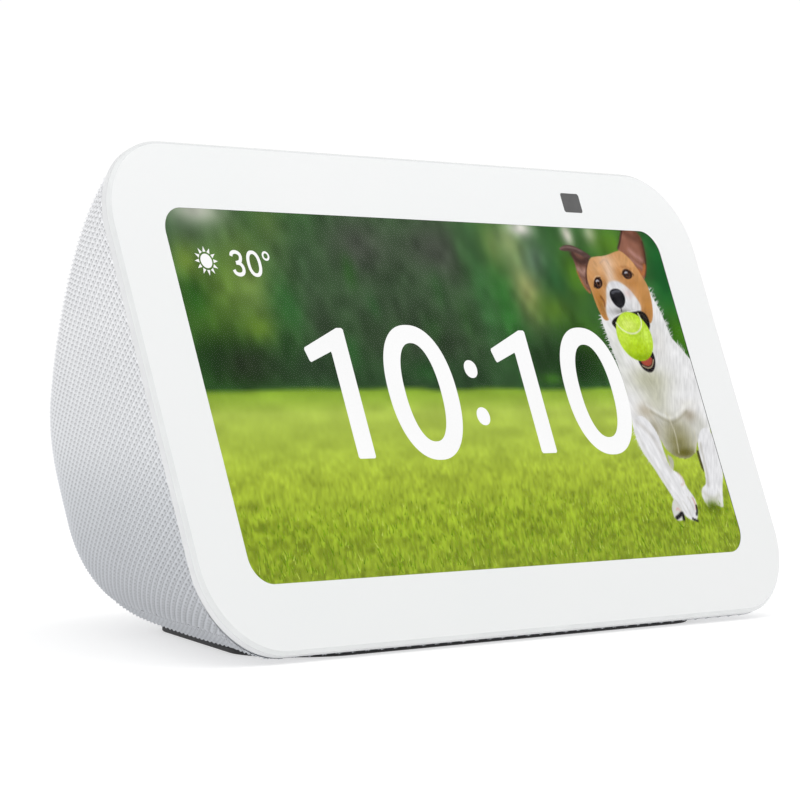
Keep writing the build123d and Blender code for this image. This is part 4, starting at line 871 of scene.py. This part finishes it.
TORSO = [(700, 500), (718, 640), (735, 780), (744, 950), (722, 1060), (716, 1160), (730, 1230), (800, 1230), (920,
    1200),
         (935, 1260), (985, 1300), (1060, 1325), (1130, 1320), (1190, 1290), (1230, 1230), (1290, 1200), (1390, 1230),
         (1390, 760), (1360, 730), (1330, 690), (1290, 650), (1262, 620), (1255, 560), (1240, 480), (1215, 420),
         (1195, 360), (1180, 330), (1000, 300), (760, 400)]
LEFT_LEG = [(716, 1120), (712, 1180), (725, 1250), (755, 1310), (790, 1360), (825, 1430), (860, 1490), (880, 1530),
            (905, 1590), (940, 1640), (985, 1668), (1025, 1675), (1050, 1655), (1072, 1610), (1074, 1565), (1060,
                1530),
            (1030, 1490), (1022, 1465), (1018, 1430), (985, 1400), (945, 1385), (925, 1340), (920, 1280), (915, 1200),
            (880, 1120), (800, 1060)]
RIGHT_LEG = [(1390, 1150), (1390, 1400), (1345, 1480), (1320, 1540), (1305, 1590), (1290, 1610), (1270, 1600),
             (1240, 1590), (1200, 1610), (1160, 1600), (1142, 1560), (1140, 1520), (1160, 1490), (1200, 1475),
             (1215, 1440), (1225, 1380), (1222, 1320), (1225, 1270), (1240, 1220), (1300, 1150)]
REAR_PAW = [(845, 1645), (848, 1600), (870, 1560), (900, 1540), (935, 1600), (935, 1655), (900, 1670), (868, 1668)]
HEAD = [(790, 165), (830, 160), (880, 158), (930, 145), (1000, 125), (1035, 120), (1080, 150), (1120, 190), (1150,
    240),
        (1175, 290), (1190, 330), (1190, 380), (1180, 440), (1165, 490), (1140, 530), (1115, 550), (1105, 500),
        (1075, 470), (960, 470), (830, 500), (785, 520), (750, 535), (725, 525), (705, 480), (695, 420), (690, 370),
        (685, 330), (680, 300), (700, 240), (730, 200), (760, 170)]
MUZZLE = [(845, 318), (870, 306), (910, 300), (950, 305), (1000, 330), (1040, 370), (1068, 410), (1080, 450),
          (1060, 482),
          (1000, 490), (940, 487), (880, 500), (830, 515), (800, 545), (775, 535), (762, 512), (766, 470), (788, 430),
          (805, 390), (820, 345)]
LEFT_EAR = [(605, 140), (612, 200), (615, 260), (622, 310), (640, 350), (665, 375), (680, 380), (690, 330), (700,
    280),
            (720, 220), (750, 175), (700, 140), (650, 122)]
EAR_FLAP = [(508, 132), (545, 108), (600, 98), (650, 106), (700, 126), (745, 146), (772, 166), (740, 176), (690, 160),
            (640, 142), (600, 136), (550, 138)]
RIGHT_EAR = [(1015, 110), (1040, 80), (1060, 45), (1085, 12), (1110, -10), (1200, -10), (1240, 20), (1255, 60),
             (1250, 120), (1235, 180), (1215, 230), (1185, 282), (1165, 285), (1140, 240), (1100, 190), (1060, 150),
             (1020, 120)]
LEFT_EYE = [(722, 340), (735, 305), (760, 285), (790, 285), (805, 300), (800, 325), (775, 345), (745, 352)]
RIGHT_EYE = [(995, 262), (1010, 240), (1040, 232), (1070, 240), (1085, 262), (1065, 282), (1030, 290), (1005, 280)]
NOSE = [(832, 388), (845, 360), (880, 346), (922, 346), (950, 362), (963, 388), (956, 418), (932, 446), (900, 462),
        (868, 452), (842, 425)]
BALL = (949.0, 621.0, 149.0, 142.0)


def paint_body(colour, x, y):
    """White fur of the trunk and legs, with warm grey and olive shade underneath."""
    lay(colour, x, y, [(930, 1290), (985, 1320), (965, 1375), (942, 1390)], (186, 186, 164))
    lay(colour, x, y, [(1195, 1285), (1226, 1270), (1222, 1400), (1205, 1402)], (84, 82, 44))
    before = colour.copy()
    lay(colour, x, y, TORSO, (234, 234, 235))
    trunk = (np.abs(colour - before).sum(1) > 60).astype(float)
    for centre, radii, tint, strength in (
        ((965, 870), (170, 80), (176, 176, 146), 0.75), ((985, 980), (110, 110), (184, 184, 160), 0.7),
        ((860, 1050), (70, 46), (178, 168, 148), 0.8), ((770, 700), (44, 150), (208, 210, 202), 0.7),
        ((1130, 640), (80, 120), (208, 206, 200), 0.6), ((1230, 1080), (62, 40), (160, 148, 126), 0.75),
        ((1075, 1150), (150, 70), (158, 154, 126), 0.9), ((1070, 1225), (130, 60), (132, 128, 84), 0.95),
        ((1090, 1290), (130, 40), (102, 98, 42), 1.0), ((1300, 1140), (60, 60), (196, 196, 186), 0.7),
        ((1225, 1010), (110, 26), (222, 220, 214), 0.6), ((900, 1150), (40, 60), (150, 142, 116), 0.7),
    ):
        dab(colour, x, y, centre, radii, tint, strength, trunk)
    lay(colour, x, y, [(885, 1015), (960, 1060), (1010, 1078), (1060, 1096), (1130, 1068), (1200, 1030), (1260,
        1005)],
        (238, 238, 232), 16, 0.8, 14)
    lay(colour, x, y, [(905, 1052), (985, 1092), (1060, 1122), (1150, 1090), (1215, 1055)], (140, 134, 108), 14,
        0.55, 8)
    lay(colour, x, y, [(1032, 1060), (1050, 1110), (1062, 1180), (1055, 1230), (1045, 1290)], (214, 210, 188), 6,
        0.8, 7)
    lay(colour, x, y, [(1232, 1170), (1225, 1225), (1205, 1262), (1188, 1290)], (212, 208, 188), 6, 0.8, 10)
    lay(colour, x, y, LEFT_LEG, (232, 232, 234))
    lay(colour, x, y, RIGHT_LEG, (230, 230, 232))
    lay(colour, x, y, REAR_PAW, (214, 214, 208))
    for points, tint, feather, strength, width in (
        ([(760, 1110), (830, 1160), (880, 1230), (905, 1330), (930, 1385)], (186, 182, 176), 24, 0.7, 16),
        ([(735, 1170), (770, 1280), (830, 1390), (880, 1490)], (196, 196, 190), 18, 0.6, 10),
        ([(990, 1402), (1012, 1432), (1016, 1465), (990, 1470)], (206, 176, 168), 10, 0.7, 10),
        ([(960, 1560), (985, 1600), (1000, 1650)], (188, 188, 180), 7, 0.7, 6),
        ([(1012, 1540), (1030, 1580), (1038, 1630)], (180, 176, 168), 7, 0.7, 6),
        ([(930, 1530), (945, 1580), (960, 1630)], (206, 206, 200), 6, 0.7, 5),
        ([(1050, 1545), (1062, 1575), (1052, 1610)], (196, 132, 124), 6, 0.9, 8),
        ([(1064, 1590), (1060, 1620), (1046, 1640)], (30, 28, 30), 4, 1.0, 14),
        ([(1004, 1662), (1040, 1676)], (34, 30, 34), 4, 1.0, 14),
        ([(868, 1652), (900, 1640), (930, 1622), (926, 1660)], (34, 32, 34), 5, 1.0, 22),
        ([(886, 1606), (900, 1596), (912, 1612)], (214, 160, 150), 6, 0.8, 8),
        ([(1255, 1240), (1245, 1330), (1240, 1420), (1220, 1480)], (182, 178, 166), 14, 0.7, 12),
        ([(1150, 1510), (1190, 1540), (1240, 1560), (1290, 1540)], (176, 176, 156), 26, 0.6, 14),
        ([(1290, 1480), (1310, 1520), (1296, 1600)], (240, 240, 240), 7, 0.9, 9),
    ):
        lay(colour, x, y, points, tint, feather, strength, width)
    dab(colour, x, y, (1205, 1600), (62, 34), (92, 112, 26), 1.0)
    return before


def paint_head(colour, x, y):
    """Ears, tan head, pale muzzle, eyes, nose, mouth and the ball."""
    lay(colour, x, y, RIGHT_EAR, (146, 98, 80))
    for points, tint, feather, strength, width in (
        ([(1200, -10), (1236, 40), (1240, 110), (1222, 170), (1200, 210)], (96, 60, 44), 26, 0.9, 34),
        ([(1110, 0), (1150, 30), (1200, 50)], (92, 58, 46), 30, 0.8, 34),
        ([(1120, 120), (1160, 150), (1200, 170)], (196, 148, 138), 26, 0.85, 22),
        ([(1110, 170), (1150, 200), (1190, 215)], (186, 140, 130), 16, 0.7, 12),
        ([(1022, 106), (1050, 76), (1076, 32), (1096, 4)], (58, 42, 40), 8, 0.9, 12),
        ([(1250, 60), (1244, 140), (1222, 215), (1192, 272)], (62, 42, 34), 7, 0.9, 10),
        ([(1150, 235), (1172, 262), (1196, 236), (1212, 205)], (182, 110, 62), 12, 0.9, 22),
    ):
        lay(colour, x, y, points, tint, feather, strength, width)
    lay(colour, x, y, LEFT_EAR, (120, 84, 72))
    for points, tint, feather, strength, width in (
        ([(612, 150), (640, 190), (690, 200), (730, 178)], (62, 42, 38), 20, 0.85, 34),
        ([(632, 240), (656, 262), (680, 250)], (172, 136, 124), 20, 0.9, 30),
        ([(640, 300), (660, 330)], (150, 110, 92), 14, 0.7, 22),
        ([(615, 255), (626, 308), (646, 350), (672, 372)], (170, 112, 66), 8, 0.85, 14),
        ([(668, 320), (684, 262), (716, 214)], (70, 44, 34), 8, 0.8, 9),
    ):
        lay(colour, x, y, points, tint, feather, strength, width)
    lay(colour, x, y, EAR_FLAP, (88, 66, 62), 3)
    lay(colour, x, y, [(525, 126), (570, 112), (640, 116), (700, 136)], (142, 118, 112), 6, 0.7, 9)
    before = colour.copy()
    lay(colour, x, y, HEAD, (204, 150, 98))
    face = np.clip(np.abs(colour - before).sum(1) / 60, 0, 1)
    for centre, radii, tint, strength in (
        ((890, 190), (90, 50), (222, 184, 152), 0.8), ((885, 270), (44, 90), (230, 204, 184), 0.8),
        ((780, 225), (60, 50), (214, 166, 118), 0.7), ((1060, 185), (80, 50), (216, 164, 110), 0.7),
        ((1120, 330), (60, 90), (198, 142, 82), 0.8), ((1140, 440), (44, 80), (190, 134, 68), 0.85),
        ((1100, 500), (40, 60), (150, 98, 44), 0.6), ((735, 420), (44, 90), (180, 122, 56), 0.9),
        ((745, 470), (30, 60), (150, 100, 40), 0.6), ((820, 330), (24, 50), (176, 118, 60), 0.7),
        ((975, 255), (30, 40), (186, 128, 74), 0.6), ((1055, 310), (60, 30), (184, 126, 68), 0.7),
    ):
        dab(colour, x, y, centre, radii, tint, strength, face)
    lay(colour, x, y, [(755, 395), (775, 425), (768, 450)], (104, 52, 24), 7, 0.8, 9)
    lay(colour, x, y, [(738, 300), (762, 276), (796, 278)], (236, 200, 160), 7, 0.7, 7)
    lay(colour, x, y, [(1002, 218), (1040, 214), (1080, 228)], (168, 112, 66), 9, 0.7, 10)
    lay(colour, x, y, [(830, 200), (880, 170), (905, 200)], (176, 150, 140), 8, 0.5, 6)
    lay(colour, x, y, MUZZLE, (226, 226, 228), 9)
    for centre, radii, tint, strength in (
        ((1000, 372), (40, 30), (222, 196, 190), 0.7), ((830, 470), (56, 36), (216, 216, 218), 0.7),
        ((905, 480), (90, 20), (128, 126, 122), 0.75), ((1040, 440), (34, 34), (214, 212, 210), 0.6),
        ((905, 318), (56, 18), (214, 214, 220), 0.6), ((820, 395), (20, 40), (206, 196, 190), 0.5),
    ):
        dab(colour, x, y, centre, radii, tint, strength, face)
    for outline, look, glint in ((LEFT_EYE, (768, 318), (762, 304)), (RIGHT_EYE, (1042, 264), (1030, 250))):
        lay(colour, x, y, outline, (44, 30, 28), 4)
        lay(colour, x, y, [(look[0] + 20 * math.cos(a), look[1] + 19 * math.sin(a)) for a in np.arange(0, 6.28, 0.5)],
            (96, 62, 44), 5)
        lay(colour, x, y, [(look[0] + 10 * math.cos(a), look[1] + 10 * math.sin(a)) for a in np.arange(0, 6.28, 0.7)],
            (16, 12, 14), 4)
        lay(colour, x, y, [(glint[0] - 9, glint[1] + 3), (glint[0] + 2, glint[1] - 4), (glint[0] + 10, glint[1])],
            (208, 212, 224), 4, 0.9, 8)
    lay(colour, x, y, [(722, 340), (738, 304), (764, 284), (796, 284)], (58, 36, 28), 4, 0.9, 7)
    lay(colour, x, y, [(993, 262), (1010, 238), (1042, 228), (1076, 240), (1092, 264)], (56, 36, 30), 4, 0.9, 7)
    lay(colour, x, y, NOSE, (34, 33, 37), 4)
    lay(colour, x, y, [(862, 372), (890, 360), (926, 362)], (112, 114, 124), 9, 0.75, 12)
    lay(colour, x, y, [(848, 410), (866, 402), (872, 424)], (8, 8, 10), 6, 0.9, 12)
    lay(colour, x, y, [(924, 400), (942, 392), (938, 416)], (8, 8, 10), 6, 0.9, 12)
    lay(colour, x, y, [(900, 458), (898, 478)], (48, 44, 46), 5, 0.9, 8)
    lay(colour, x, y, [(780, 548), (812, 520), (870, 500), (930, 482), (1000, 480), (1060, 470), (1102, 486),
                       (1116, 524),
                       (1110, 560), (1096, 576), (1060, 640), (830, 620), (802, 572)], (30, 27, 24), 5)
    lay(colour, x, y, [(1060, 492), (1084, 500), (1094, 524)], (92, 84, 70), 6, 0.6, 6)
    lay(colour, x, y, [(918, 762), (934, 800), (960, 822), (1000, 832), (1036, 816), (1062, 780), (1074, 738),
                       (1064, 700),
                       (940, 720)], (32, 28, 30), 5)
    lay(colour, x, y, [(938, 768), (962, 790), (1004, 796), (1038, 776), (1050, 736), (960, 740)], (164, 74, 58), 6)
    lay(colour, x, y, [(944, 790), (985, 806), (1028, 796), (1054, 756)], (214, 192, 150), 4, 0.9, 6)
    paint_ball(colour, x, y)


def paint_ball(colour, x, y):
    """The felted ball with its curved pale seam."""
    cx, cy, rx, ry = BALL
    turn = np.arange(0, 2 * math.pi, 0.2)
    lay(colour, x, y, np.stack([cx + rx * np.cos(turn), cy + ry * np.sin(turn)], 1), (184, 220, 50), 4)
    across, down = (x - cx) / rx, (y - cy) / ry
    within = np.clip((1.02 - np.hypot(across, down)) * 20, 0, 1)
    felt = value_noise(x, y, 9, 9, 21) - 0.5
    for centre, radii, tint, strength in (
        ((920, 555), (90, 50), (222, 242, 124), 0.85), ((850, 640), (50, 60), (204, 232, 84), 0.7),
        ((1050, 620), (50, 60), (208, 236, 108), 0.6), ((960, 750), (150, 42), (132, 164, 20), 0.9),
        ((940, 690), (110, 40), (176, 206, 28), 0.6),
    ):
        dab(colour, x, y, centre, radii, tint, strength, within)
    colour += (felt * 26 * within)[:, None]
    lay(colour, x, y, [(822, 545), (850, 580), (900, 603), (950, 607), (1000, 592), (1036, 560), (1046, 520),
                       (1034, 488)],
        (226, 234, 190), 3, 0.95, 9)
    lay(colour, x, y, [(838, 590), (896, 618), (950, 622), (1006, 606), (1050, 568)], (150, 184, 36), 7, 0.5, 6)


def picture_colour(x, y):
    """Linear colour of the picture at points in picture units."""
    colour = np.zeros((len(x), 3))
    paint_background(colour, x, y)
    dog = np.flatnonzero((x > 930) & (y < 600))
    if len(dog):
        dx, dy = (x[dog] - DOG_LEFT) * DOG_SCALE, y[dog] * DOG_SCALE
        part = colour[dog]
        behind = part.copy()
        paint_body(part, dx, dy)
        paint_head(part, dx, dy)
        fur = value_noise(dx + 0.45 * (dy - 800) * np.sign(dx - 990), dy, 8, 40, 11) - 0.5
        tuft = value_noise(dx, dy, 26, 34, 12) - 0.5
        changed = np.clip(np.abs(part - behind).sum(1) / 90, 0, 1)
        part *= (1 + changed * (0.10 * fur + 0.06 * tuft))[:, None]
        colour[dog] = part
    colour = np.clip(colour, 2, 250) / 255
    return np.where(colour > 0.04045, ((colour + 0.055) / 1.055) ** 2.4, colour / 12.92)


def lit(name, strength=1.0):
    """A glowing surface coloured by its own paint, with the panel's fine pixel grain."""
    made, tree, shader = material(name)
    tree.nodes.remove(shader)
    paint = node(tree, "ShaderNodeAttribute", attribute_name="paint")
    mix = node(tree, "ShaderNodeMix", data_type="RGBA", blend_type="MULTIPLY")
    mix.inputs["Factor"].default_value = 1.0
    tree.links.new(paint.outputs["Color"], mix.inputs["A"])
    tree.links.new(ramp(tree, noise(tree, 6000, 2.0), [(0.3, grey(0.95)), (0.7, grey(1.0))]), mix.inputs["B"])
    glow = node(tree, "ShaderNodeEmission")
    glow.inputs["Strength"].default_value = strength
    tree.links.new(mix.outputs["Result"], glow.inputs["Color"])
    tree.links.new(glow.outputs[0], tree.nodes["Material Output"].inputs["Surface"])
    return made


def lit_piece(name, verts, faces, paint, finish):
    piece = new_piece(name, verts, faces, paint=paint, smooth=False)
    piece.data.materials.append(finish)
    return piece


def picture_patches():
    """The picture as one mesh, finer over the dog."""
    verts, faces, paint = [], [], []
    start = 0
    for x0, x1, y0, y1, pitch in ((-4, 930, -4, 624, 4.3), (930, 1244, -4, 300, 1.6), (930, 1244, 300, 624, 2.3)):
        xs = np.linspace(x0, x1, int((x1 - x0) / pitch) + 1)
        ys = np.linspace(y0, y1, int((y1 - y0) / pitch) + 1)
        x, y = (a.ravel() for a in np.meshgrid(xs, ys))
        number = start + np.arange(len(x)).reshape(len(ys), len(xs))
        faces.append(np.stack([number[1:, :-1], number[1:, 1:], number[:-1, 1:], number[:-1, :-1]],
                              -1).reshape(-1, 4))
        verts.append(at_picture(x, y, PICTURE_DEPTH))
        paint.append(picture_colour(x, y))
        start += len(x)
    return np.concatenate(verts), np.concatenate(faces), np.concatenate(paint)


def tapered_strokes(roots, tips, widths):
    """Thin triangles from a root to a tip."""
    along = tips - roots
    side = np.stack([-along[:, 1], along[:, 0]], 1) / np.linalg.norm(along, axis=1, keepdims=True) * widths[:,
        None] / 2
    points = np.stack([roots - side, tips, roots + side], 1).reshape(-1, 2)
    return points


def picture_strokes():
    """Grass blades along the bottom and fine hairs at the dog's outline."""
    pick = np.random.default_rng(31)
    count = 1500
    roots = np.stack([pick.uniform(0, 1240, count), pick.uniform(500, 626, count) ], 1)
    tall = 5 + 15 * pick.random(count) * np.clip((roots[:, 1] - 480) / 120, 0.2, 1)
    tips = roots + np.stack([pick.normal(0, 0.35, count) * tall, -tall], 1)
    tones = np.array([(92, 132, 16), (122, 164, 24), (168, 198, 58), (198, 214, 96), (76, 116, 14)], float)
    tint = tones[pick.choice(5, count, p=(0.3, 0.3, 0.2, 0.06, 0.14))]
    over_head = (roots[:, 0] > 1052) & (roots[:, 0] < 1142) & (roots[:, 1] < 560)
    over_back = (roots[:, 0] > 1158) & (roots[:, 1] < 528)
    clear = ~over_head & ~over_back
    roots, tips, tint = roots[clear], tips[clear], tint[clear]
    widths = 1.3 + 1.2 * pick.random(len(roots))
    hairs, ends = [], []
    for line, way, number in (([(1192, 320), (1215, 400), (1240, 480), (1255, 560), (1270, 625)], (1.0, -0.55), 60),
                              ([(702, 500), (712, 600), (724, 700), (736, 780)], (-1.0, 0.15), 50),
                              ([(716, 1150), (730, 1240), (790, 1350)], (-1.0, 0.6), 24),
                              ([(1300, 660), (1345, 715), (1376, 770)], (0.6, -0.9), 22)):
        line = np.array(line, float)
        run = pick.uniform(0, len(line) - 1.001, number)
        base = line[run.astype(int)] + (run % 1)[:, None] * (line[run.astype(int) + 1] - line[run.astype(int)])
        reach = pick.uniform(14, 34, number)[:, None]
        hairs.append(base - 8 * np.array(way))
        ends.append(base + reach * (np.array(way) + pick.normal(0, 0.3, (number, 2))))
    hairs, ends = (np.concatenate(a) / DOG_SCALE + (DOG_LEFT, 0) for a in (hairs, ends))
    roots, tips = np.concatenate([roots, hairs]), np.concatenate([tips, ends])
    widths = np.concatenate([widths, np.full(len(hairs), 1.2)])
    tint = np.concatenate([tint, np.full((len(hairs), 3), 224.0)])
    inside = (np.minimum(roots, tips).min(1) > 2) & (np.maximum(roots, tips) < (1238, 618)).all(1)
    points = tapered_strokes(roots[inside], tips[inside], widths[inside])
    paint = np.repeat(((tint[inside] / 255 + 0.055) / 1.055) ** 2.4, 3, 0)
    return at_picture(points[:, 0], points[:, 1], PICTURE_DEPTH - 0.012), np.arange(len(points)).reshape(-1, 3), paint


def oval(cx, cy, rx, ry, power=2.0, steps=72):
    """Superellipse outline."""
    turn = np.arange(steps) / steps * 2 * math.pi
    c, s = np.cos(turn), np.sin(turn)
    return [(cx + rx * math.copysign(abs(a) ** (2 / power), a), cy + ry * math.copysign(abs(b) ** (2 / power), b))
            for a, b in zip(c, s)]


def ribbon_outline(points, width, rounds=3):
    """Outline of a line of even width."""
    line = smoothed(points, rounds, False)
    way = np.gradient(line, axis=0)
    side = np.stack([-way[:, 1], way[:, 0]], 1) / np.linalg.norm(way, axis=1, keepdims=True) * width / 2
    return [tuple(p) for p in np.concatenate([line + side, (line - side)[::-1]])]


def clock_face():
    """The weather line and the time as crisp white shapes."""
    ring_shapes = [
        (oval(177, 91, 15.6, 22.6, 2.3), oval(177, 91, 9.2, 16.6, 2.2)),
        (oval(207, 77, 8.2, 8.2), oval(207, 77, 4.6, 4.6)),
        (oval(494.5, 310.5, 83.5, 118.5, 2.25, 128), oval(494.5, 310.5, 43.5, 86.5, 2.25, 128)),
        (oval(944, 310.5, 83.2, 118.5, 2.25, 128), oval(944.5, 310.5, 43.5, 86.5, 2.25, 128)),
    ]
    solid_shapes = [oval(72.5, 89, 12.2, 12.2), oval(627.5, 270, 16, 16, 2.1), oval(627.5, 354.5, 16, 16, 2.1)]
    for turn in np.arange(12) * math.pi / 6:
        c, s = math.cos(turn), math.sin(turn)
        ray = ((15.5, -3.2), (25, 0), (15.5, 3.2))
        solid_shapes.append([(72.5 + a * c - b * s, 89 + a * s + b * c) for a, b in ray])
    for left in (0.0, 452.0):
        solid_shapes.append([(left + a, b) for a, b in (
            (304, 423), (338, 423), (341, 420), (341, 202), (338, 199), (326, 199), (241.5, 233), (240, 237),
            (246, 256),
            (249, 258), (300, 240), (301, 243), (301, 420))])
    solid_shapes.append(ribbon_outline([(129.5, 79), (131, 74), (139.5, 71), (149, 74.5), (150, 82), (146, 89),
                                        (137, 90.8)],
                                       6.4))
    solid_shapes.append(ribbon_outline([(137, 90.2), (147, 91.5), (151.5, 100), (148.5, 108.5), (139.5, 111.2),
                                        (131, 108.5),
                                        (128.8, 102.5)], 6.4))
    verts, faces = [], []
    for outer, holes in [(a, [b]) for a, b in ring_shapes] + [(a, []) for a in solid_shapes]:
        flipped = [[(px, -py) for px, py in loop] for loop in [outer] + holes]
        faces += [[start + len(verts) for start in f] for f in fill_between(flipped[0], flipped[1:])]
        verts += [(px, -py) for loop in flipped for px, py in loop]
    verts = np.array(verts)
    return at_picture(verts[:, 0], verts[:, 1], PICTURE_DEPTH - 0.035), faces


def screen_picture():
    glow = lit("screen_glow")
    verts, faces, paint = picture_patches()
    lit_piece("screen_picture", verts, faces, paint, glow)
    verts, faces, paint = picture_strokes()
    lit_piece("picture_strokes", verts, faces, paint, glow)
    verts, faces = clock_face()
    lit_piece("clock_figures", verts, faces, np.full((len(verts), 3), 0.985), lit("figure_glow", 1.02))


screen_picture()

# ---------------------------------------------------------------- floor, light and camera
SKY_TONES = [(0.0, grey(0.74)), (0.35, grey(0.86)), (1.0, grey(1.0))]
LAMPS = [("key_light", (0.1, -0.5, 1.6), (0, 0, 0.04), 5.0, 1.4),
         ("side_light", (-1.4, 0.4, 0.4), (0, 0, 0.04), 2.8, 0.9)]


FLOOR_GLOW = 0.55
FLOOR_REACH = 14.0
FLOOR_STEPS = 14
BACKDROP = 1.02
CAMERA_LENS = 140.757
CAMERA_SPOT = (-396.79, -383.92, 45.21)
CAMERA_FORWARD = (0.73122, 0.68207, -0.00990)
CAMERA_RIGHT = (0.68210, -0.73126, 0.0)


def stage():
    """A pale floor that glows a little, so that shadows on it stay faint."""
    made, tree, shader = material("pale_floor")
    soft = noise(tree, 6, 2.0)
    tree.links.new(ramp(tree, soft, [(0.3, grey(0.50)), (0.7, grey(0.51))]), shader.inputs["Base Color"])
    shader.inputs["Emission Color"].default_value = (1, 1, 1, 1)
    shader.inputs["Emission Strength"].default_value = FLOOR_GLOW
    tree.links.new(ramp(tree, soft, [(0.3, grey(0.85)), (0.7, grey(0.9))]), shader.inputs["Roughness"])
    grid = np.linspace(-FLOOR_REACH, FLOOR_REACH, FLOOR_STEPS + 1)
    x, y = np.meshgrid(grid, grid)
    verts = np.stack([x.ravel(), y.ravel(), np.zeros(x.size)], 1)
    number = np.arange(x.size).reshape(x.shape)
    quads = np.stack([number[:-1, :-1], number[:-1, 1:], number[1:, 1:], number[1:, :-1]], -1).reshape(-1, 4)
    mesh = bpy.data.meshes.new("studio_floor")
    mesh.from_pydata([tuple(p) for p in verts.tolist()], [], quads.tolist())
    floor = bpy.data.objects.new("studio_floor", mesh)
    bpy.context.scene.collection.objects.link(floor)
    mesh.materials.append(made)


def lights():
    """A white backdrop; the light itself is softer near the horizon and stronger overhead."""
    sky = bpy.data.worlds.new("studio")
    bpy.context.scene.world = sky
    sky.use_nodes = True
    tree = sky.node_tree
    backdrop = tree.nodes["Background"]
    backdrop.inputs["Color"].default_value = (1, 1, 1, 1)
    backdrop.inputs["Strength"].default_value = BACKDROP
    place = node(tree, "ShaderNodeTexCoord")
    split = node(tree, "ShaderNodeSeparateXYZ")
    tree.links.new(place.outputs["Generated"], split.inputs["Vector"])
    dome = node(tree, "ShaderNodeBackground")
    tree.links.new(ramp(tree, split.outputs["Z"], SKY_TONES), dome.inputs["Color"])
    seen = node(tree, "ShaderNodeLightPath")
    mix = node(tree, "ShaderNodeMixShader")
    tree.links.new(seen.outputs["Is Camera Ray"], mix.inputs["Fac"])
    tree.links.new(dome.outputs[0], mix.inputs[1])
    tree.links.new(backdrop.outputs[0], mix.inputs[2])
    tree.links.new(mix.outputs[0], tree.nodes["World Output"].inputs["Surface"])
    for name, spot, aim, power, size in LAMPS:
        lamp = bpy.data.lights.new(name, "AREA")
        lamp.energy = power
        lamp.size = size
        thing = bpy.data.objects.new(name, lamp)
        thing.location = spot
        thing.rotation_euler = (Vector(aim) - Vector(spot)).to_track_quat("-Z", "Y").to_euler()
        bpy.context.scene.collection.objects.link(thing)
    bpy.context.scene.view_settings.view_transform = "Standard"


def camera():
    """The camera that the picture is seen from, worked out from the corners of the screen."""
    data = bpy.data.cameras.new("studio_camera")
    data.lens = CAMERA_LENS
    data.sensor_width = 36.0
    data.clip_start = 0.01
    data.clip_end = 100.0
    thing = bpy.data.objects.new("studio_camera", data)
    forward = Vector(CAMERA_FORWARD).normalized()
    right = Vector(CAMERA_RIGHT).normalized()
    up = right.cross(forward)
    turn = Matrix((right, up, -forward)).transposed().to_4x4()
    thing.matrix_world = Matrix.Translation(Vector(CAMERA_SPOT) * MM) @ turn
    bpy.context.scene.collection.objects.link(thing)
    bpy.context.scene.camera = thing


stage()
lights()
camera()
